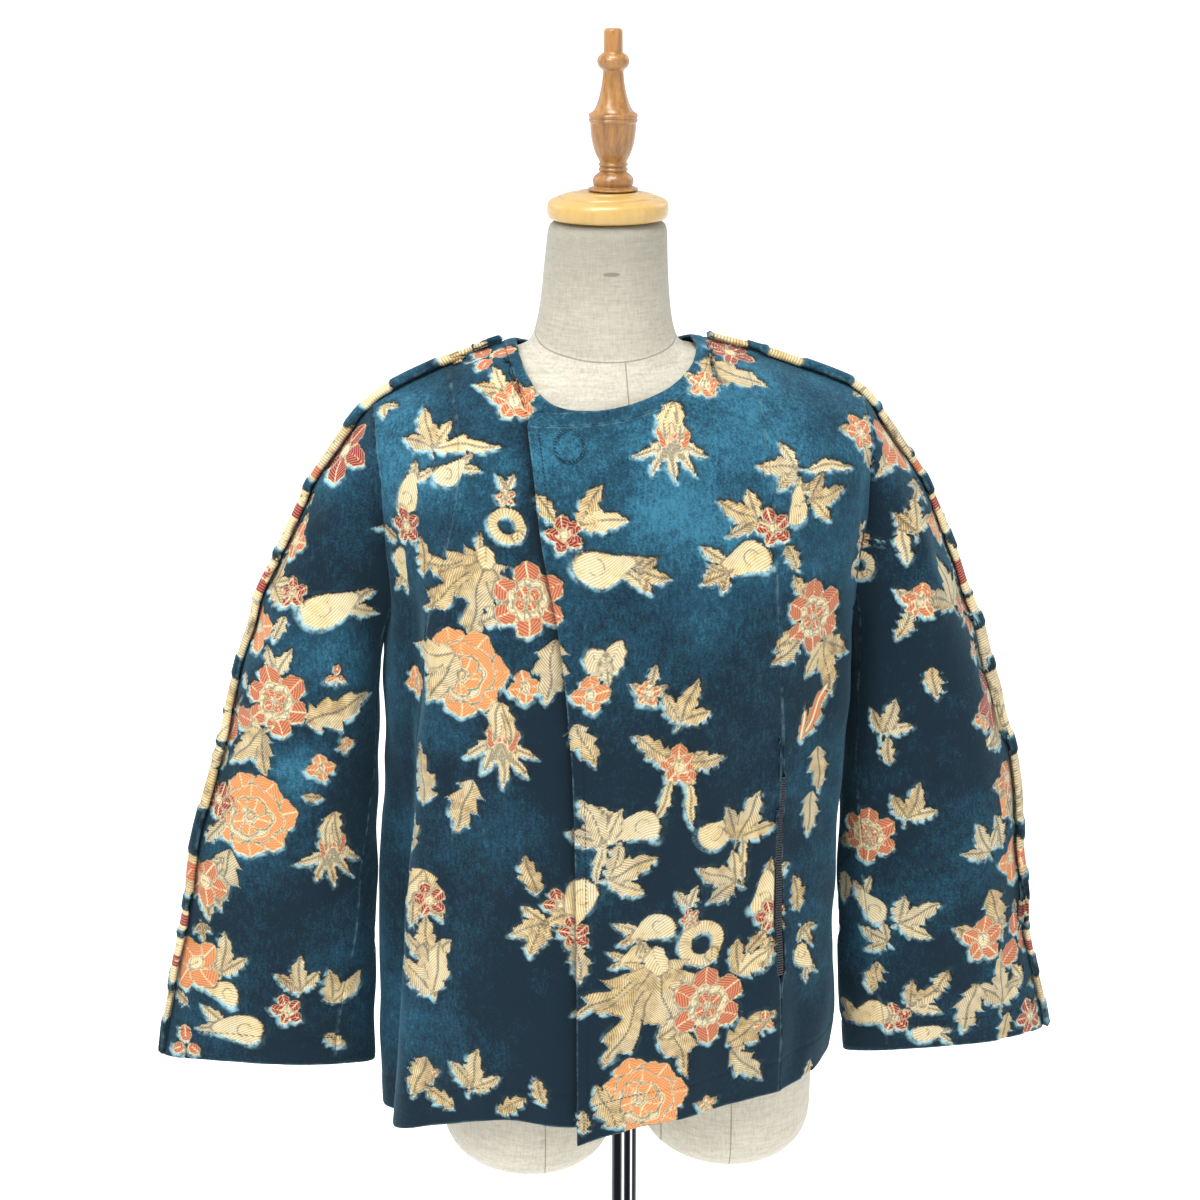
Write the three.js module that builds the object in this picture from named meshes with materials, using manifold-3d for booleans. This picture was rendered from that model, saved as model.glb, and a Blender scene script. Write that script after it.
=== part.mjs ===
// Collarless velvet jacquard jacket on a linen-covered dress form with a turned wooden cap and a chrome pole.
// Millimetres, +Z up, front towards -Y, the wearer's left towards +X. Origin under the pole, on the floor.
import * as THREE from "three";
import { mergeVertices } from "three/addons/utils/BufferGeometryUtils.js";
import Module from "manifold-3d";

const wasm = await Module();
wasm.setup();

// Driving dimensions
const CLOTH = 2.4; // velvet wall
const SEAM_PULL = 0.2; // each panel stops this short of a seam
const UNDER_LAP = 3.8; // how far the right front lies under the left front
const JACKET_X = -8; // the jacket hangs a little to the wearer's right of the pole
const NECK_HALF = 69; // half width of the neck opening
const NECK_BAND = 9; // width of the neck band
const NECK_Z = 1332; // neck point, where shoulder and neckline meet
const TIP_HALF = 191; // half width at the shoulder tips
const TIP_Z = 1288;
const SHOULDER_CURVE = 1.3; // the shoulder line drops faster towards the tip
const FRONT_NECK_DROP = 42; // neckline below the neck point, at the front and at the back
const BACK_NECK_DROP = 14;
const NECK_LOW_X = -30; // the front neckline is lowest on the wearer's right of the centre
const NECK_CURVE = { left: 1.2, right: 0.64, back: 0.85 }; // below 1 is boxier than an ellipse, above 1 straighter
const LAP_CORNER = 0.44; // the left front goes on past the lowest point of the neckline by this share of its width
const ARMPIT_Z = 1112;
const HIDDEN_EDGE = 10; // hidden edge of the right front, from the centre to the wearer's right

// The body by height: half width, depth to the front and back, how boxy the section is, and its sideways shift
const BODY = [
  { at: 690, half: 186, front: 134, back: 126, boxy: 2.25, shift: -6 },
  { at: 800, half: 186, front: 132, back: 118, boxy: 2.25, shift: -4 },
  { at: 930, half: 184, front: 130, back: 108, boxy: 2.25, shift: -3 },
  { at: 1040, half: 185, front: 131, back: 102, boxy: 2.3, shift: 2 },
  { at: 1130, half: 188, front: 129, back: 101, boxy: 2.4, shift: 6 },
  { at: 1210, half: 197, front: 116, back: 99, boxy: 2.5, shift: 7 },
  { at: 1280, half: 212, front: 103, back: 92, boxy: 2.5, shift: 3 },
  { at: 1345, half: 226, front: 96, back: 84, boxy: 2.5, shift: -11 },
];
// Hem height by degrees round from the centre front, on the wearer's left and right
const HEM = {
  left: [
    { at: -14, height: 704 },
    { at: 4, height: 722 },
    { at: 22, height: 729 },
    { at: 50, height: 733 },
    { at: 78, height: 741 },
    { at: 110, height: 734 },
    { at: 180, height: 716 },
  ],
  right: [
    { at: -14, height: 725 },
    { at: 10, height: 722 },
    { at: 30, height: 724 },
    { at: 50, height: 711 },
    { at: 68, height: 697 },
    { at: 90, height: 692 },
    { at: 125, height: 704 },
    { at: 180, height: 716 },
  ],
};
// Free edge of the left front, which laps over the right front: distance from the centre by height
const LAP_EDGE = [
  { at: 690, x: -43 },
  { at: 970, x: -44 },
  { at: 1080, x: -50 },
  { at: 1155, x: -59 },
  { at: 1230, x: -68 },
  { at: 1290, x: -73 },
];
// Seam between front and side front: degrees round from the centre front, by height
const FRONT_SEAM = [
  { at: 690, left: 42, right: -77 },
  { at: 840, left: 40.2, right: -68.5 },
  { at: 1000, left: 38.6, right: -63 },
  { at: 1100, left: 33, right: -56 },
  { at: 1175, left: 28, right: -45.5 },
  { at: 1240, left: 25, right: -36 },
  { at: 1330, left: 22, right: -29 },
];
// Armhole by share of its height: inset of the front and back armhole from the side
const ARMHOLE = [
  { at: 0, front: 0, back: 0 },
  { at: 0.12, front: 6, back: 5 },
  { at: 0.35, front: 15, back: 12 },
  { at: 0.6, front: 19, back: 16 },
  { at: 0.85, front: 18, back: 17 },
  { at: 1, front: 18, back: 18 },
];
// Outer line of each sleeve, by share of its length: distance from the centre and height
const OVERARM = [
  { at: 0, left: 191, leftZ: 1288, right: 191, rightZ: 1288 },
  { at: 0.07, left: 222, leftZ: 1249, right: 219, rightZ: 1250 },
  { at: 0.155, left: 251, leftZ: 1200, right: 246, rightZ: 1201 },
  { at: 0.25, left: 275, leftZ: 1145, right: 270, rightZ: 1146 },
  { at: 0.36, left: 299, leftZ: 1078, right: 298, rightZ: 1079 },
  { at: 0.46, left: 317, leftZ: 1020, right: 315, rightZ: 1022 },
  { at: 0.57, left: 329, leftZ: 958, right: 330, rightZ: 962 },
  { at: 0.68, left: 338, leftZ: 896, right: 343, rightZ: 901 },
  { at: 0.79, left: 347, leftZ: 835, right: 353, rightZ: 842 },
  { at: 0.9, left: 357, leftZ: 777, right: 365, rightZ: 786 },
  { at: 1, left: 368, leftZ: 730, right: 374, rightZ: 741 },
];
// Inner line of each sleeve, and the sleeve's half depth and lean to the front there
const UNDERARM = [
  { at: 0, left: 194, leftZ: 1112, right: 182, rightZ: 1112, depth: 56, lean: 0 },
  { at: 0.12, left: 195, leftZ: 1080, right: 186, rightZ: 1080, depth: 62, lean: 2 },
  { at: 0.3, left: 190, leftZ: 1010, right: 190, rightZ: 1010, depth: 57, lean: 4 },
  { at: 0.5, left: 187, leftZ: 918, right: 192, rightZ: 920, depth: 48, lean: 4 },
  { at: 0.75, left: 189, leftZ: 811, right: 195, rightZ: 818, depth: 41, lean: 2 },
  { at: 1, left: 196, leftZ: 717, right: 198, rightZ: 728, depth: 38, lean: 0 },
];
const CUFF_RISE = 11; // the cuff's front and back lie higher than its ends

// Folds of the body: from and to, as degrees round from the centre front (+ is the wearer's left) and height.
// rise is outwards, negative for a groove, and spread is the half width of the fold.
const BODY_FOLDS = [
  { from: [-46, 1210], to: [-66, 700], rise: 11, spread: 20 },
  { from: [-58, 1190], to: [-78, 700], rise: -13, spread: 18 },
  { from: [-80, 1000], to: [-86, 700], rise: 4.5, spread: 14 },
  { from: [-12, 1120], to: [-26, 700], rise: -4, spread: 34 },
  { from: [30, 1130], to: [22, 700], rise: -5, spread: 30 },
  { from: [50, 1185], to: [49, 700], rise: -3.5, spread: 7 },
  { from: [66, 1120], to: [66, 740], rise: 6, spread: 24 },
  { from: [84, 1060], to: [90, 720], rise: -8, spread: 18 },
  { from: [-98, 1060], to: [-112, 700], rise: -6, spread: 26 },
  { from: [-130, 1150], to: [-138, 700], rise: 6, spread: 30 },
  { from: [-158, 1160], to: [-163, 700], rise: -5, spread: 26 },
  { from: [118, 1080], to: [110, 700], rise: -6, spread: 26 },
  { from: [140, 1150], to: [134, 700], rise: 6, spread: 28 },
  { from: [166, 1170], to: [168, 700], rise: -5, spread: 26 },
];
// Folds of the sleeves: from and to, as degrees round from the outer line towards the front, and share of the length
const SLEEVE_FOLDS = {
  left: [
    { from: [58, 0.02], to: [44, 0.55], rise: 8, spread: 13 },
    { from: [34, 0.04], to: [24, 0.5], rise: -7, spread: 14 },
    { from: [112, 0.1], to: [96, 0.7], rise: -6, spread: 22 },
    { from: [78, 0.5], to: [62, 1.15], rise: 5, spread: 24 },
    { from: [-50, 0.04], to: [-40, 0.6], rise: -7, spread: 18 },
    { from: [-95, 0.2], to: [-80, 1.1], rise: 6, spread: 24 },
  ],
  right: [
    { from: [92, 0.0], to: [128, 0.42], rise: 8, spread: 16 },
    { from: [60, 0.02], to: [96, 0.4], rise: -9, spread: 18 },
    { from: [64, 0.45], to: [52, 1.15], rise: -5, spread: 28 },
    { from: [-46, 0.04], to: [-56, 0.6], rise: -7, spread: 18 },
    { from: [-90, 0.25], to: [-76, 1.1], rise: 6, spread: 24 },
  ],
};
// Mesh steps
const SIDE_ROWS = 8; // hem to armpit
const ARMHOLE_ROWS = 10; // armpit to shoulder tip
const SHOULDER_COLUMNS = 8;
const SEAM_COLUMN = { left: 2, right: 3 }; // shoulder column at which the front seam ends
const NECK_COLUMNS = { left: 13, right: 11, back: 7 };
const SLEEVE_RINGS = 11;
const TOP_SLEEVE_COLUMNS = 8; // the rest of the armhole rows belong to the under sleeve

const clamp = (t, low = 0, high = 1) => Math.min(high, Math.max(low, t));
const smooth = (t) => clamp(t) ** 2 * (3 - 2 * clamp(t));
const mix = (a, b, t) => a + (b - a) * t;
const rad = THREE.MathUtils.degToRad;
const deg = THREE.MathUtils.radToDeg;
const V = (x, y, z) => new THREE.Vector3(x, y, z);

// A table's column at a height or share, as a smooth curve through its rows
function read(rows, at, name) {
  const last = rows.length - 1;
  let i = rows.findIndex((row) => row.at > at) - 1;
  if (i < 0) i = at < rows[0].at ? 0 : last - 1;
  const slope = (k) => {
    const a = rows[Math.max(0, k - 1)];
    const b = rows[Math.min(last, k + 1)];
    return (b[name] - a[name]) / (b.at - a.at);
  };
  const step = rows[i + 1].at - rows[i].at;
  const t = clamp((at - rows[i].at) / step);
  const bend = (3 - 2 * t) * t * t;
  return (
    mix(rows[i][name], rows[i + 1][name], bend) +
    step * (t * (1 - t) ** 2 * slope(i) - t * t * (1 - t) * slope(i + 1))
  );
}

// Height of the shoulder line at a distance from the centre
function shoulderZ(x) {
  const out = clamp((Math.abs(x) - NECK_HALF) / (TIP_HALF - NECK_HALF), 0, 1.3);
  return NECK_Z - (NECK_Z - TIP_Z) * out ** SHOULDER_CURVE;
}

// How far below the shoulder line the cloth has rolled over to full depth. It is soonest at the nape.
function rollHeight(x, back = false) {
  const nape = back ? 76 * (1 - smooth(Math.abs(x) / 85)) : 0;
  return mix(112, 78, clamp(Math.abs(x) / TIP_HALF)) - nape;
}

function roll(drop, height) {
  const t = clamp(drop / height);
  return Math.sqrt(1 - (1 - t) ** 2);
}

// Share of a fold that a point has, at a distance across it and a share along it
function foldAt(across, along, fold) {
  if (along < 0 || along > 1) return 0;
  const ends = smooth(along / 0.22) * smooth((1 - along) / 0.12);
  return fold.rise * Math.exp(-((across / fold.spread) ** 2)) * ends;
}

function bodyFold(angle, z) {
  const half = read(BODY, z, "half");
  return BODY_FOLDS.reduce((sum, fold) => {
    const along = (z - fold.from[1]) / (fold.to[1] - fold.from[1]);
    const centre = mix(fold.from[0], fold.to[0], clamp(along));
    let turn = deg(angle) - centre;
    turn -= 360 * Math.round(turn / 360);
    const reach = along > 1 ? 1 : along;
    const lowEnd = fold.to[1] <= 700 ? clamp(reach, 0, 0.88) : reach;
    return sum + foldAt(rad(turn) * half * 0.85, lowEnd, fold);
  }, 0);
}

// A point of the body's outer face: angle round from the centre front, height, and distance below the face
function bodyPoint(angle, z, under = 0) {
  const power = 2 / read(BODY, z, "boxy");
  const side = Math.sin(angle);
  const front = Math.cos(angle);
  const half = read(BODY, z, "half");
  const depth = read(BODY, z, front >= 0 ? "front" : "back");
  const x = half * Math.sign(side) * Math.abs(side) ** power;
  const rolled = roll(shoulderZ(x) - z, rollHeight(x, front < 0));
  const y = -depth * Math.sign(front) * Math.abs(front) ** power * rolled;
  const out = V(x / half ** 2, y / depth ** 2, 0).normalize();
  const lift = bodyFold(angle, z) * smooth(rolled * 1.4 - 0.4) - under;
  return V(x + read(BODY, z, "shift"), y, z).addScaledVector(out, lift);
}

// The angle at which the body's section reaches a distance from its centre
function angleOf(x, z, back = false) {
  const share = clamp(Math.abs(x) / read(BODY, z, "half"));
  const angle = Math.asin(share ** (read(BODY, z, "boxy") / 2));
  return Math.sign(x) * (back ? Math.PI - angle : angle);
}

function hemZ(angle, side) {
  const turn = Math.sign(side) * deg(angle);
  return read(HEM[side > 0 ? "left" : "right"], turn, "height");
}

// A point of the neckline in distance and height. share runs from the lowest point at 0 to the neck point at 1,
// and below 0 past the lowest point. out is the width of the band that is left off.
function neckline(side, back, share, out) {
  const lowX = back ? 0 : NECK_LOW_X;
  const width = NECK_HALF + out - side * lowX;
  const low = NECK_Z - (back ? BACK_NECK_DROP : FRONT_NECK_DROP) - out;
  if (share < 0) return [lowX + side * width * share, low];
  const curve = NECK_CURVE[back ? "back" : side > 0 ? "left" : "right"];
  const t = rad(90 * share);
  const top = shoulderZ(NECK_HALF + out);
  return [lowX + side * width * Math.sin(t) ** curve, mix(low, top, 1 - Math.cos(t) ** curve)];
}

// Shares at which columns cross the neckline, closer together towards the neck point
function neckShares(side, back, start, columns) {
  const steps = 240;
  const place = (k) => {
    const [x, z] = neckline(side, back, mix(start, 1, k / steps), NECK_BAND);
    return bodyPoint(...pointAt(x, z, back));
  };
  const lengths = [0];
  for (let k = 1; k <= steps; k++) lengths.push(lengths[k - 1] + place(k).distanceTo(place(k - 1)));
  const shares = [];
  for (let j = 0; j <= columns; j++) {
    const wanted = lengths[steps] * (1 - (1 - j / columns) ** 1.35);
    const k = Math.max(1, lengths.findIndex((length) => length >= wanted - 1e-9));
    const part = (wanted - lengths[k - 1]) / (lengths[k] - lengths[k - 1]);
    shares.push(j === columns ? 1 : mix(start, 1, (k - 1 + part) / steps));
  }
  return shares;
}

const pointAt = (x, z, back) => {
  const angle = angleOf(x, z, back);
  return [back && angle < 0 ? angle + 2 * Math.PI : angle, z];
};

// The front seam's end on the shoulder
function seamTop(side) {
  const name = side > 0 ? "left" : "right";
  let z = TIP_Z;
  for (let k = 0; k < 40; k++)
    z = shoulderZ(bodyPoint(rad(read(FRONT_SEAM, z, name)), z).x - read(BODY, z, "shift"));
  return bodyPoint(rad(read(FRONT_SEAM, z, name)), z).x - read(BODY, z, "shift");
}

// Where a column of the shoulder lies, from the neck band to the tip
function shoulderX(side, column) {
  const split = SEAM_COLUMN[side > 0 ? "left" : "right"];
  const seam = Math.abs(seamTop(side));
  return column <= split
    ? mix(NECK_HALF + NECK_BAND, seam, column / split)
    : mix(seam, TIP_HALF, (column - split) / (SHOULDER_COLUMNS - split));
}

const shoulderPoint = (side, back, column) => {
  const x = shoulderX(side, column);
  return pointAt(side * x, shoulderZ(x), back);
};

// Share of the armhole's height at which a row lies, closer together at its ends
const armholeShare = (row) => (1 - Math.cos((Math.PI * row) / ARMHOLE_ROWS)) / 2;
const rowShare = (row) =>
  row <= SIDE_ROWS ? 0.69 * (row / SIDE_ROWS) : mix(0.69, 1, armholeShare(row - SIDE_ROWS));
// the same where the top row lies on the neckline, with even rows
const evenShare = (row) =>
  row <= SIDE_ROWS ? rowShare(row) : mix(0.69, 1, (row - SIDE_ROWS) / ARMHOLE_ROWS);

// The side of the body and the armhole above it
function sidePoint(side, back, row) {
  const angle = side > 0 || !back ? side * rad(90) : rad(270);
  const hem = hemZ(side * rad(90), side);
  if (row <= SIDE_ROWS) return [angle, mix(hem, ARMPIT_Z, row / SIDE_ROWS)];
  const share = armholeShare(row - SIDE_ROWS);
  const z = mix(ARMPIT_Z, TIP_Z, share);
  const inset = read(ARMHOLE, share, back ? "back" : "front");
  const x = mix(read(BODY, z, "half"), TIP_HALF + 18, smooth(share * 1.6)) - inset;
  return pointAt(side * (share >= 1 ? TIP_HALF : x), z, back);
}

// A patch of the body from its four boundaries, as rows of points from the hem up
const ROWS = SIDE_ROWS + ARMHOLE_ROWS;
function patch({ columns, left, right, top, hem, under = () => 0, leftShare = rowShare }) {
  const corner = [left(0), right(0), left(ROWS), right(ROWS)];
  const grid = [];
  for (let i = 0; i <= ROWS; i++) {
    const line = [];
    for (let j = 0; j <= columns; j++) {
      const u = j / columns;
      const v = mix(leftShare(i), rowShare(i), smooth(u * 1.5));
      const [l, r] = [left(i), right(i)];
      const t = j === 0 ? corner[2] : j === columns ? corner[3] : top(j);
      const turn = mix(corner[0][0], corner[1][0], u);
      const b = [turn, hem(turn)];
      const at = [0, 1].map(
        (k) =>
          mix(l[k], r[k], u) +
          mix(b[k], t[k], v) -
          mix(mix(corner[0][k], corner[1][k], u), mix(corner[2][k], corner[3][k], u), v),
      );
      line.push(bodyPoint(at[0], at[1], under(at[0], at[1])));
    }
    grid.push(line);
  }
  return grid;
}

// Distance of the left front's free edge from the centre line of the section
const lapX = (z) => read(LAP_EDGE, clamp(z, 690, 1290), "x") - read(BODY, z, "shift");

// The right front goes under the left front in a short step
function underLap(angle, z) {
  const x = bodyPoint(angle, z).x - read(BODY, z, "shift");
  return UNDER_LAP * smooth((x - lapX(z) + 26) / 22) * (1 - smooth((z - 1288) / 24));
}

// Both front patches of a side, from the free or hidden edge to the front seam and from there to the side
function frontPatches(side) {
  const name = side > 0 ? "left" : "right";
  const necks = NECK_COLUMNS[name];
  const split = SEAM_COLUMN[name];
  const start = side > 0 ? -LAP_CORNER : (NECK_LOW_X + HIDDEN_EDGE) / (NECK_HALF + NECK_BAND + NECK_LOW_X);
  const shares = neckShares(side, false, start, necks);
  const neckPoint = (column, out) => {
    const [x, z] = neckline(side, false, shares[column], out);
    return pointAt(x, z);
  };
  const end = neckline(side, false, start, NECK_BAND);
  const free = (row) => {
    if (row === ROWS) return neckPoint(0, NECK_BAND);
    const low = hemZ(rad(side > 0 ? -12 : -5), side);
    const z = mix(low, end[1], evenShare(row));
    const x = side > 0 ? lapX(z) : -HIDDEN_EDGE;
    const settle = smooth((z - 1130) / (end[1] - 1130));
    return pointAt(mix(x, side > 0 ? end[0] : -HIDDEN_EDGE, settle), z);
  };
  const seamX = seamTop(side);
  const seamZ = shoulderZ(seamX);
  const seam = (row) => {
    if (row === ROWS) return pointAt(seamX, seamZ);
    const low = hemZ(rad(read(FRONT_SEAM, 725, name)), side);
    const z = mix(low, seamZ, rowShare(row));
    return [rad(read(FRONT_SEAM, z, name)), z];
  };
  const hem = (angle) => hemZ(angle, side);
  const under = side > 0 ? () => 0 : underLap;
  return {
    front: patch({
      columns: necks + split,
      left: free,
      leftShare: evenShare,
      right: seam,
      hem,
      under,
      top: (j) => (j <= necks ? neckPoint(j, NECK_BAND) : shoulderPoint(side, false, j - necks)),
    }),
    sideFront: patch({
      columns: SHOULDER_COLUMNS - split,
      left: seam,
      right: (row) => sidePoint(side, false, row),
      hem,
      top: (j) => shoulderPoint(side, false, j + split),
    }),
    frontBand: [NECK_BAND, NECK_BAND / 2, 0].map((out) => {
      const line = [];
      for (let j = 0; j <= necks; j++) {
        const [angle, z] = neckPoint(j, out);
        line.push(bodyPoint(angle, z, under(angle, z)));
      }
      return line;
    }),
  };
}

function backPatches(side) {
  const necks = NECK_COLUMNS.back;
  const shares = neckShares(side, true, 0, necks);
  const neckPoint = (column, out) => {
    const [x, z] = neckline(side, true, shares[column], out);
    return pointAt(column === 0 ? side * 1e-6 : x, z, true);
  };
  const end = neckPoint(0, NECK_BAND)[1];
  const hem = (angle) => hemZ(side > 0 ? angle : angle - 2 * Math.PI, side);
  return {
    back: patch({
      columns: necks + SHOULDER_COLUMNS,
      left: (row) => [Math.PI, mix(HEM.left.at(-1).height, end, rowShare(row))],
      right: (row) => sidePoint(side, true, row),
      hem,
      top: (j) => (j <= necks ? neckPoint(j, NECK_BAND) : shoulderPoint(side, true, j - necks)),
    }),
    backBand: [NECK_BAND, NECK_BAND / 2, 0].map((out) => {
      const line = [];
      for (let j = 0; j <= necks; j++) line.push(bodyPoint(...neckPoint(j, out)));
      return line;
    }),
  };
}

// The outer and inner line of a sleeve, and its frame, at a share of its length
function sleeveFrame(side, share) {
  const name = side > 0 ? "left" : "right";
  const top = V(side * read(OVERARM, share, name), 0, read(OVERARM, share, name + "Z"));
  const low = V(side * read(UNDERARM, share, name), 0, read(UNDERARM, share, name + "Z"));
  const tipShift = read(BODY, TIP_Z, "shift") * (1 - smooth(share * 3));
  top.x += tipShift;
  return {
    centre: top.clone().add(low).multiplyScalar(0.5),
    reach: top.clone().sub(low).multiplyScalar(0.5),
    depth: read(UNDERARM, share, "depth"),
    lean: -read(UNDERARM, share, "lean"),
  };
}

// A point of a sleeve: angle round from the outer line towards the front, and share of the length.
// Near the armhole the section takes the armhole's own shape.
function sleevePoint(side, angle, share, armhole) {
  const { centre, reach, depth, lean } = sleeveFrame(side, share);
  const fit = 1 - smooth(share / 0.34);
  const along = mix(Math.cos(angle), armhole.along, fit);
  const out = mix(Math.sin(angle) * depth, -armhole.y, fit);
  const point = centre.clone().addScaledVector(reach, along);
  point.y = -out + lean;
  point.z += CUFF_RISE * Math.abs(Math.sin(angle)) * smooth((share - 0.75) / 0.25);
  const normal = reach.clone().normalize().multiplyScalar(Math.cos(angle) / reach.length());
  normal.y = -Math.sin(angle) / depth;
  normal.normalize();
  const girth = (reach.length() + depth) / 2;
  const folds = SLEEVE_FOLDS[side > 0 ? "left" : "right"].reduce((sum, fold) => {
    const at = (share - fold.from[1]) / (fold.to[1] - fold.from[1]);
    const turn = deg(angle) - mix(fold.from[0], fold.to[0], clamp(at));
    return sum + foldAt(rad(turn - 360 * Math.round(turn / 360)) * girth, at, fold);
  }, 0);
  return point.addScaledVector(normal, folds * smooth(share / 0.1));
}

// The whole outer face of the jacket as one mesh, whose panels share their seam points
const skin = { points: [], index: new Map(), faces: [], normals: [], sleeve: [], body: [] };

function skinVertex(p) {
  const key = [p.x, p.y, p.z].map((v) => Math.round(v * 50)).join();
  if (!skin.index.has(key)) {
    skin.index.set(key, skin.points.length);
    skin.points.push(p.clone());
  }
  return skin.index.get(key);
}

function addGrid(panel, grid, flip) {
  for (let i = 0; i + 1 < grid.length; i++)
    for (let j = 0; j + 1 < grid[i].length; j++) {
      const [a, b, c, d] = [grid[i][j], grid[i][j + 1], grid[i + 1][j + 1], grid[i + 1][j]].map(skinVertex);
      for (const face of [
        [a, b, c],
        [a, c, d],
      ])
        if (new Set(face).size === 3) skin.faces.push({ panel, face: flip ? face.reverse() : face });
    }
}

function normalsOf(faces) {
  const normals = skin.points.map(() => V(0, 0, 0));
  for (const { face } of faces) {
    const [a, b, c] = face.map((k) => skin.points[k]);
    const n = b.clone().sub(a).cross(c.clone().sub(a));
    for (const k of face) normals[k].add(n);
  }
  return normals.map((n) => n.normalize());
}

// In the armpit the sleeve faces the body, so there each keeps the direction of its own cloth
const isSleeve = (panel) => panel.startsWith("sleeve");
function finishSkin() {
  skin.normals = normalsOf(skin.faces);
  skin.sleeve = normalsOf(skin.faces.filter((f) => isSleeve(f.panel)));
  skin.body = normalsOf(skin.faces.filter((f) => !isSleeve(f.panel)));
}
function normalFor(panel, k) {
  const meets = skin.sleeve[k].lengthSq() > 0 && skin.body[k].lengthSq() > 0;
  if (!meets || skin.sleeve[k].dot(skin.body[k]) > 0.35) return skin.normals[k];
  return isSleeve(panel) ? skin.sleeve[k] : skin.body[k];
}

// A closed body from corner points and triangles
function geometryOf(points, triangles) {
  const flat = points.flatMap((p) => [p.x, p.y, p.z]);
  const g = new THREE.BufferGeometry();
  g.setAttribute("position", new THREE.Float32BufferAttribute(flat, 3));
  g.setIndex(triangles.flat());
  g.computeVertexNormals();
  return g;
}

// A panel as a wall of cloth: its outer face, a face CLOTH inside it, and edges all round
function panelGeometry(panel, thickness = CLOTH) {
  const faces = skin.faces.filter((f) => f.panel === panel).map((f) => f.face);
  const others = new Set();
  for (const f of skin.faces)
    if (f.panel !== panel) f.face.forEach((a, i) => others.add(a + "," + f.face[(i + 1) % 3]));
  const used = [...new Set(faces.flat())];
  const place = new Map(used.map((k, i) => [k, i]));
  const edges = new Map();
  for (const f of faces)
    f.forEach((a, i) => {
      const b = f[(i + 1) % 3];
      edges.set(a + "," + b, [a, b]);
    });
  const rim = [...edges.values()].filter(([a, b]) => !edges.has(b + "," + a));
  const pull = new Map(used.map((k) => [k, []]));
  for (const [a, b] of rim) {
    if (!others.has(b + "," + a)) continue;
    const along = skin.points[b].clone().sub(skin.points[a]).normalize();
    for (const k of [a, b]) pull.get(k).push(normalFor(panel, k).clone().cross(along).normalize());
  }
  const outer = used.map((k) => {
    const p = skin.points[k].clone();
    const ways = pull.get(k);
    if (!ways.length) return p;
    const way = ways.reduce((sum, w) => sum.add(w), V(0, 0, 0)).normalize();
    return p.addScaledVector(way, SEAM_PULL / Math.max(0.4, way.dot(ways[0])));
  });
  const points = [...outer, ...used.map((k, i) => outer[i].clone().addScaledVector(normalFor(panel, k), -thickness))];
  const n = used.length;
  const triangles = [];
  for (const f of faces) {
    const [a, b, c] = f.map((k) => place.get(k));
    triangles.push([a, b, c], [a + n, c + n, b + n]);
  }
  for (const [p, q] of rim) {
    const [a, b] = [place.get(p), place.get(q)];
    // both panels of a seam split its edge faces along the same diagonal
    if (p < q) triangles.push([b, a, a + n], [b, a + n, b + n]);
    else triangles.push([a, b + n, b], [a, a + n, b + n]);
  }
  return geometryOf(points, triangles);
}

// A closed body through rings of points, capped at both ends
function loft(rings) {
  const n = rings[0].length;
  const points = rings.flat();
  const triangles = [];
  for (let i = 0; i + 1 < rings.length; i++)
    for (let j = 0; j < n; j++) {
      const [a, b] = [i * n + j, i * n + ((j + 1) % n)];
      triangles.push([a, b, b + n], [a, b + n, a + n]);
    }
  for (const [ring, turned] of [
    [0, true],
    [rings.length - 1, false],
  ]) {
    const middle = points.length;
    points.push(rings[ring].reduce((s, p) => s.add(p), V(0, 0, 0)).multiplyScalar(1 / n));
    for (let j = 0; j < n; j++) {
      const [a, b] = [ring * n + j, ring * n + ((j + 1) % n)];
      triangles.push(turned ? [middle, b, a] : [middle, a, b]);
    }
  }
  return geometryOf(points, triangles);
}

function toSolid(geometry) {
  const bare = geometry.clone();
  for (const name of ["normal", "uv"]) bare.deleteAttribute(name);
  const merged = mergeVertices(bare, 1e-3);
  return new wasm.Manifold(
    new wasm.Mesh({
      numProp: 3,
      vertProperties: merged.attributes.position.array,
      triVerts: new Uint32Array(merged.index.array),
    }),
  );
}

function fromSolid(solid) {
  const mesh = solid.getMesh();
  const g = new THREE.BufferGeometry();
  g.setAttribute("position", new THREE.Float32BufferAttribute(mesh.vertProperties, 3));
  g.setIndex([...mesh.triVerts]);
  g.computeVertexNormals();
  return g;
}

// Finishes
const velvet = new THREE.MeshStandardMaterial({ color: 0x1c5166, roughness: 0.85 });
const linen = new THREE.MeshStandardMaterial({ color: 0xd6cfbd, roughness: 0.9 });
const wood = new THREE.MeshStandardMaterial({ color: 0xc98f45, roughness: 0.35 });
const chrome = new THREE.MeshStandardMaterial({ color: 0xd8d8d8, roughness: 0.15, metalness: 1 });
const blackPlastic = new THREE.MeshStandardMaterial({ color: 0x15171a, roughness: 0.5 });
const zipTape = new THREE.MeshStandardMaterial({ color: 0x2c2a2d, roughness: 0.7 });

const part = new THREE.Group();
const jacket = new THREE.Group();
jacket.position.x = JACKET_X;
const stand = new THREE.Group();
part.add(jacket, stand);

function add(group, name, geometry, material) {
  const mesh = new THREE.Mesh(geometry, material);
  mesh.name = name;
  group.add(mesh);
  return mesh;
}

// Body panels
const sides = [
  { name: "left", side: 1 },
  { name: "right", side: -1 },
];
const body = {};
for (const { name, side } of sides) {
  body[name] = { ...frontPatches(side), ...backPatches(side) };
  addGrid("front_" + name, body[name].front, side < 0);
  addGrid("side_front_" + name, body[name].sideFront, side < 0);
  addGrid("back", body[name].back, side > 0);
  addGrid("neck_band", body[name].frontBand, side < 0);
  addGrid("neck_band", body[name].backBand, side > 0);
}

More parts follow.
